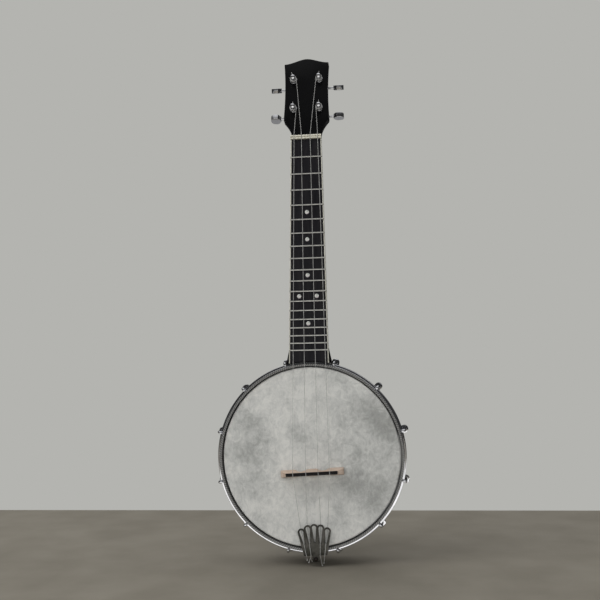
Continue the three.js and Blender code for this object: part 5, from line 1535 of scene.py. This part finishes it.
def winding_path(tuner, arrival):
    """From the tangent point up round the post, then outward and in through the post's hole."""
    sense = -tuner["side"]
    away = math.hypot(arrival.x, arrival.y)
    first_turn = math.atan2(arrival.y, arrival.x) + sense * math.acos(WINDING_RADIUS / away)
    to_hole = (sense * (-math.pi / 2 - first_turn)) % (2 * math.pi)
    whole = to_hole + 2 * math.pi * WINDING_TURNS - WINDING_LEAVE
    rise = WINDING_PITCH / (2 * math.pi)

    def on_post(swept):
        angle = first_turn + sense * swept
        x = WINDING_RADIUS * math.cos(angle)
        y = WINDING_RADIUS * math.sin(angle)
        return Vector((x, y, WINDING_FOOT + rise * swept))

    path = [on_post(swept) for swept in spaced(0, whole, round(whole / (2 * math.pi) * WINDING_STEPS))]
    last = path[-1]
    heading = Vector((-sense * last.y, sense * last.x, 0)).normalized()
    mouth = Vector((0, -WINDING_RADIUS - STRING_RADIUS, HOLE_HEIGHT))
    handle = WINDING_RADIUS / 2
    path += bezier([last, last + heading * handle, mouth + Vector((0, -handle, 0)), mouth], 14)[1:]
    aside, beyond = tuner["string_end"]
    path += [Vector((0, POST_RADIUS, HOLE_HEIGHT)), Vector((aside, POST_RADIUS + beyond, HOLE_HEIGHT))]
    overlap = [on_post(swept) for swept in spaced(0, WINDING_OVERLAP, 4)]
    return path, overlap


def tail_path(i):
    """A string's lower part in the pot's frame: knot, over the plate, down a slot, under the front bar."""
    lobe = i if i < LOBE_COUNT // 2 else i + 1
    top = lobe_centre(lobe)
    above = TAIL_THICKNESS + SEAT_GAP + STRING_RADIUS
    below = -(SEAT_GAP + STRING_RADIUS)
    slot_length = TAIL_BOTTOM - SLOT_FEET[lobe] + top[1]
    stations = [(TAIL_BOTTOM + SEAT_GAP, above), (-top[1] + SLOT_ENTRY_SHARE * slot_length, above),
                (-top[1] + SLOT_EXIT_SHARE * slot_length, below),
                (-top[1] - LOBE_RADIUS - FRONT_BAR_LEAD, below)]
    path = [(KNOT_PLACES[i], -TAIL_BOTTOM - KNOT_REACH[i], below - KNOT_DROP)]
    path += [(fan_across(top, distance), -distance, height) for distance, height in stations]
    return [from_to(point, TAIL, POT) for point in path]


def loose_end(knot, mouth):
    """The short second end that a knot leaves beside the first."""
    start = mouth.lerp(knot, LOOSE_END_START_SHARE)
    out = (knot - mouth) * LOOSE_END_SHARE
    tip = start + Vector((-LOOSE_END_ASIDE_SHARE * out.x, out.y, out.z))
    return sweep(*domed([start, start.lerp(tip, 0.5), tip], FILAMENT_RADIUS * LOOSE_END_RADIUS_SHARE))


def string_run(i, tuner, overlap):
    """A string's straight runs, from its knot to the first part of its winding, in the pot's frame."""
    bridge_seat = BRIDGE_HEIGHT - BRIDGE_SLOT_DEPTH + SEAT_GAP + STRING_RADIUS
    edge = BRIDGE_TOP_THICKNESS / 2
    over_bridge = [from_to((BRIDGE_STRING_PLACES[i], y, bridge_seat), BRIDGE, POT) for y in (-edge, edge)]
    run = tail_path(i) + over_bridge + [from_to(point, NECK, POT) for point in nut_points(i)]
    run = rounded(run + [from_to(overlap[0], tuner["frame"], POT)], STRING_BEND, closed=False)
    return run + [from_to(point, tuner["frame"], POT) for point in overlap[1:]]


def nut_points(i):
    """Where a string comes onto the nut and where it leaves it, in the neck's frame."""
    seat = FRET_HEIGHT + NUT_SLOT_LIFT + SEAT_GAP + STRING_RADIUS
    return [Vector((NUT_STRING_PLACES[i], NUT_DISTANCE + along, seat)) for along in (0, NUT_THICKNESS)]


def make_strings():
    for i, tuner in enumerate(TUNERS):
        number = tuner["number"]
        winding, overlap = winding_path(tuner, from_to(nut_points(i)[1], NECK, tuner["frame"]))
        run = string_run(i, tuner, overlap)
        along = (run[1] - run[0]).normalized()
        knot = [run[0] + along * share * KNOT_RADIUS for share in KNOT_STEPS]
        radii = [KNOT_RADIUS / 2, KNOT_RADIUS, KNOT_RADIUS]
        radii += [FILAMENT_RADIUS] * (len(run) - len(overlap) + 2)
        radii += [FILAMENT_RADIUS * OVERLAP_RADIUS_SHARE] * (len(overlap) - 1)
        main = mesh_of(sweep(knot + run[1:], radii))
        if number == LOOSE_END_STRING:
            main = grown(main, loose_end(run[0], run[1]))
        piece(f"sounding_string_{number}", main, POT, "nylon", [f"string_{number}"])
        coil = mesh_of(sweep(*domed(winding, FILAMENT_RADIUS)))
        piece(f"winding_{number}", coil, tuner["frame"], "nylon", body=f"post_{number}")


for make in (make_rim, make_film, make_hoops, make_hooks, make_rod, make_neck, make_fretboard, make_frets,
             make_dots, make_nut, make_bridge, make_tailpiece, make_strap, make_tail_bolt, make_tuners,
             make_strings):
    make()


# Stage: floor, light and camera, in metres

FLOOR_HALF_WIDTH = 1.5
FLOOR_NEAR = -2.0
FLOOR_FAR = 0.303
FLOOR_LEVEL = cad_bounds[0].z - 0.5 * MM
WALL_GREY = srgb(180, 180, 176)
CAMERA_PLACE = (0.102, -1.0064, 0.19545)
CAMERA_AZIMUTH = math.radians(6.663)
CAMERA_ELEVATION = math.radians(-4.376)
CAMERA_ROLL = math.radians(-1.092)
FOCAL_PIXELS = 847.84
IMAGE_PIXELS = 600
SENSOR_WIDTH = 36

# Light of the studio by height, from straight down at -1 to straight up at 1
ROOM_BY_HEIGHT = ((-1.0, 0.3), (-0.16, 0.3), (-0.1, 0.035), (0.35, 0.035), (0.55, 0.12), (0.75, 0.6),
                  (1.0, 1.0))

# Lamps: name, place, target, width, depth and watts
LAMPS = (
    ("key", (-1.6, -1.2, 1.8), (0, 0, 0.2), 1.6, 1.6, 24.3),
    ("back", (-0.5, 2.0, 1.5), (0, 0, 0.25), 1.8, 1.2, 14),
    ("fill", (0.3, -2.2, 0.35), (0, 0, 0.2), 2.2, 1.2, 26.6),
)
FLOOR_GLOW = ("floor_glow", (0.15, -0.42, FLOOR_LEVEL + MM), (0.15, -0.42, 1), 1.1, 0.66, 2.6)


def make_floor():
    look = Look("floor", srgb(129, 124, 113), Roughness=0.8)
    look.paint(look.noise(14, detail=5), (0.35, 123, 118, 107), (0.7, 134, 129, 118))
    look.bump(look.noise(600, detail=2), 0.1, 0.3)
    mesh = bpy.data.meshes.new("floor")
    plan = rectangle(-FLOOR_HALF_WIDTH, FLOOR_HALF_WIDTH, FLOOR_NEAR, FLOOR_FAR)
    mesh.from_pydata([(x, y, FLOOR_LEVEL) for x, y in plan], [], [(0, 1, 2, 3)])
    mesh.materials.append(look.material)
    floor = bpy.data.objects.new("floor", mesh)
    bpy.context.scene.collection.objects.link(floor)


def make_world():
    """The camera sees a plain wall grey, and all else sees a soft studio: bright above, dim ahead."""
    world = bpy.data.worlds.new("studio")
    bpy.context.scene.world = world
    world.use_nodes = True
    tree = world.node_tree
    tree.nodes.clear()
    direction = add_node(tree, "ShaderNodeTexCoord").outputs["Generated"]
    height = add_node(tree, "ShaderNodeSeparateXYZ", {0: direction}).outputs[2]
    span = add_node(tree, "ShaderNodeMapRange", {"Value": height, "From Min": -1}).outputs[0]
    room = add_ramp(tree, span, [((place + 1) / 2, light) for place, light in ROOM_BY_HEIGHT])
    studio = add_node(tree, "ShaderNodeBackground", {"Color": room}).outputs[0]
    wall = add_node(tree, "ShaderNodeBackground", {"Color": WALL_GREY}).outputs[0]
    seen = add_node(tree, "ShaderNodeLightPath").outputs["Is Camera Ray"]
    choice = add_node(tree, "ShaderNodeMixShader", {0: seen, 1: studio, 2: wall}).outputs[0]
    add_node(tree, "ShaderNodeOutputWorld", {"Surface": choice})


def make_lamp(name, place, target, width, depth, watts):
    """A lamp panel that the camera doesn't see."""
    lamp = bpy.data.lights.new(name, "AREA")
    lamp.shape = "RECTANGLE"
    lamp.size = width
    lamp.size_y = depth
    lamp.energy = watts
    obj = bpy.data.objects.new(name, lamp)
    obj.location = place
    obj.rotation_euler = (Vector(target) - Vector(place)).to_track_quat("-Z", "Y").to_euler()
    obj.visible_camera = False
    bpy.context.scene.collection.objects.link(obj)
    return obj


def make_camera():
    camera = bpy.data.objects.new("camera", bpy.data.cameras.new("camera"))
    camera.data.sensor_width = SENSOR_WIDTH
    camera.data.lens = FOCAL_PIXELS / IMAGE_PIXELS * SENSOR_WIDTH
    heading = turn(CAMERA_AZIMUTH, "Z") @ turn(math.pi / 2 - CAMERA_ELEVATION, "X")
    camera.matrix_world = Matrix.Translation(CAMERA_PLACE) @ heading @ turn(CAMERA_ROLL, "Z")
    bpy.context.scene.collection.objects.link(camera)
    bpy.context.scene.camera = camera


make_floor()
make_world()
for lamp_facts in LAMPS:
    make_lamp(*lamp_facts).visible_glossy = False
make_lamp(*FLOOR_GLOW).visible_diffuse = False
make_camera()
bpy.context.scene.view_settings.view_transform = "Standard"
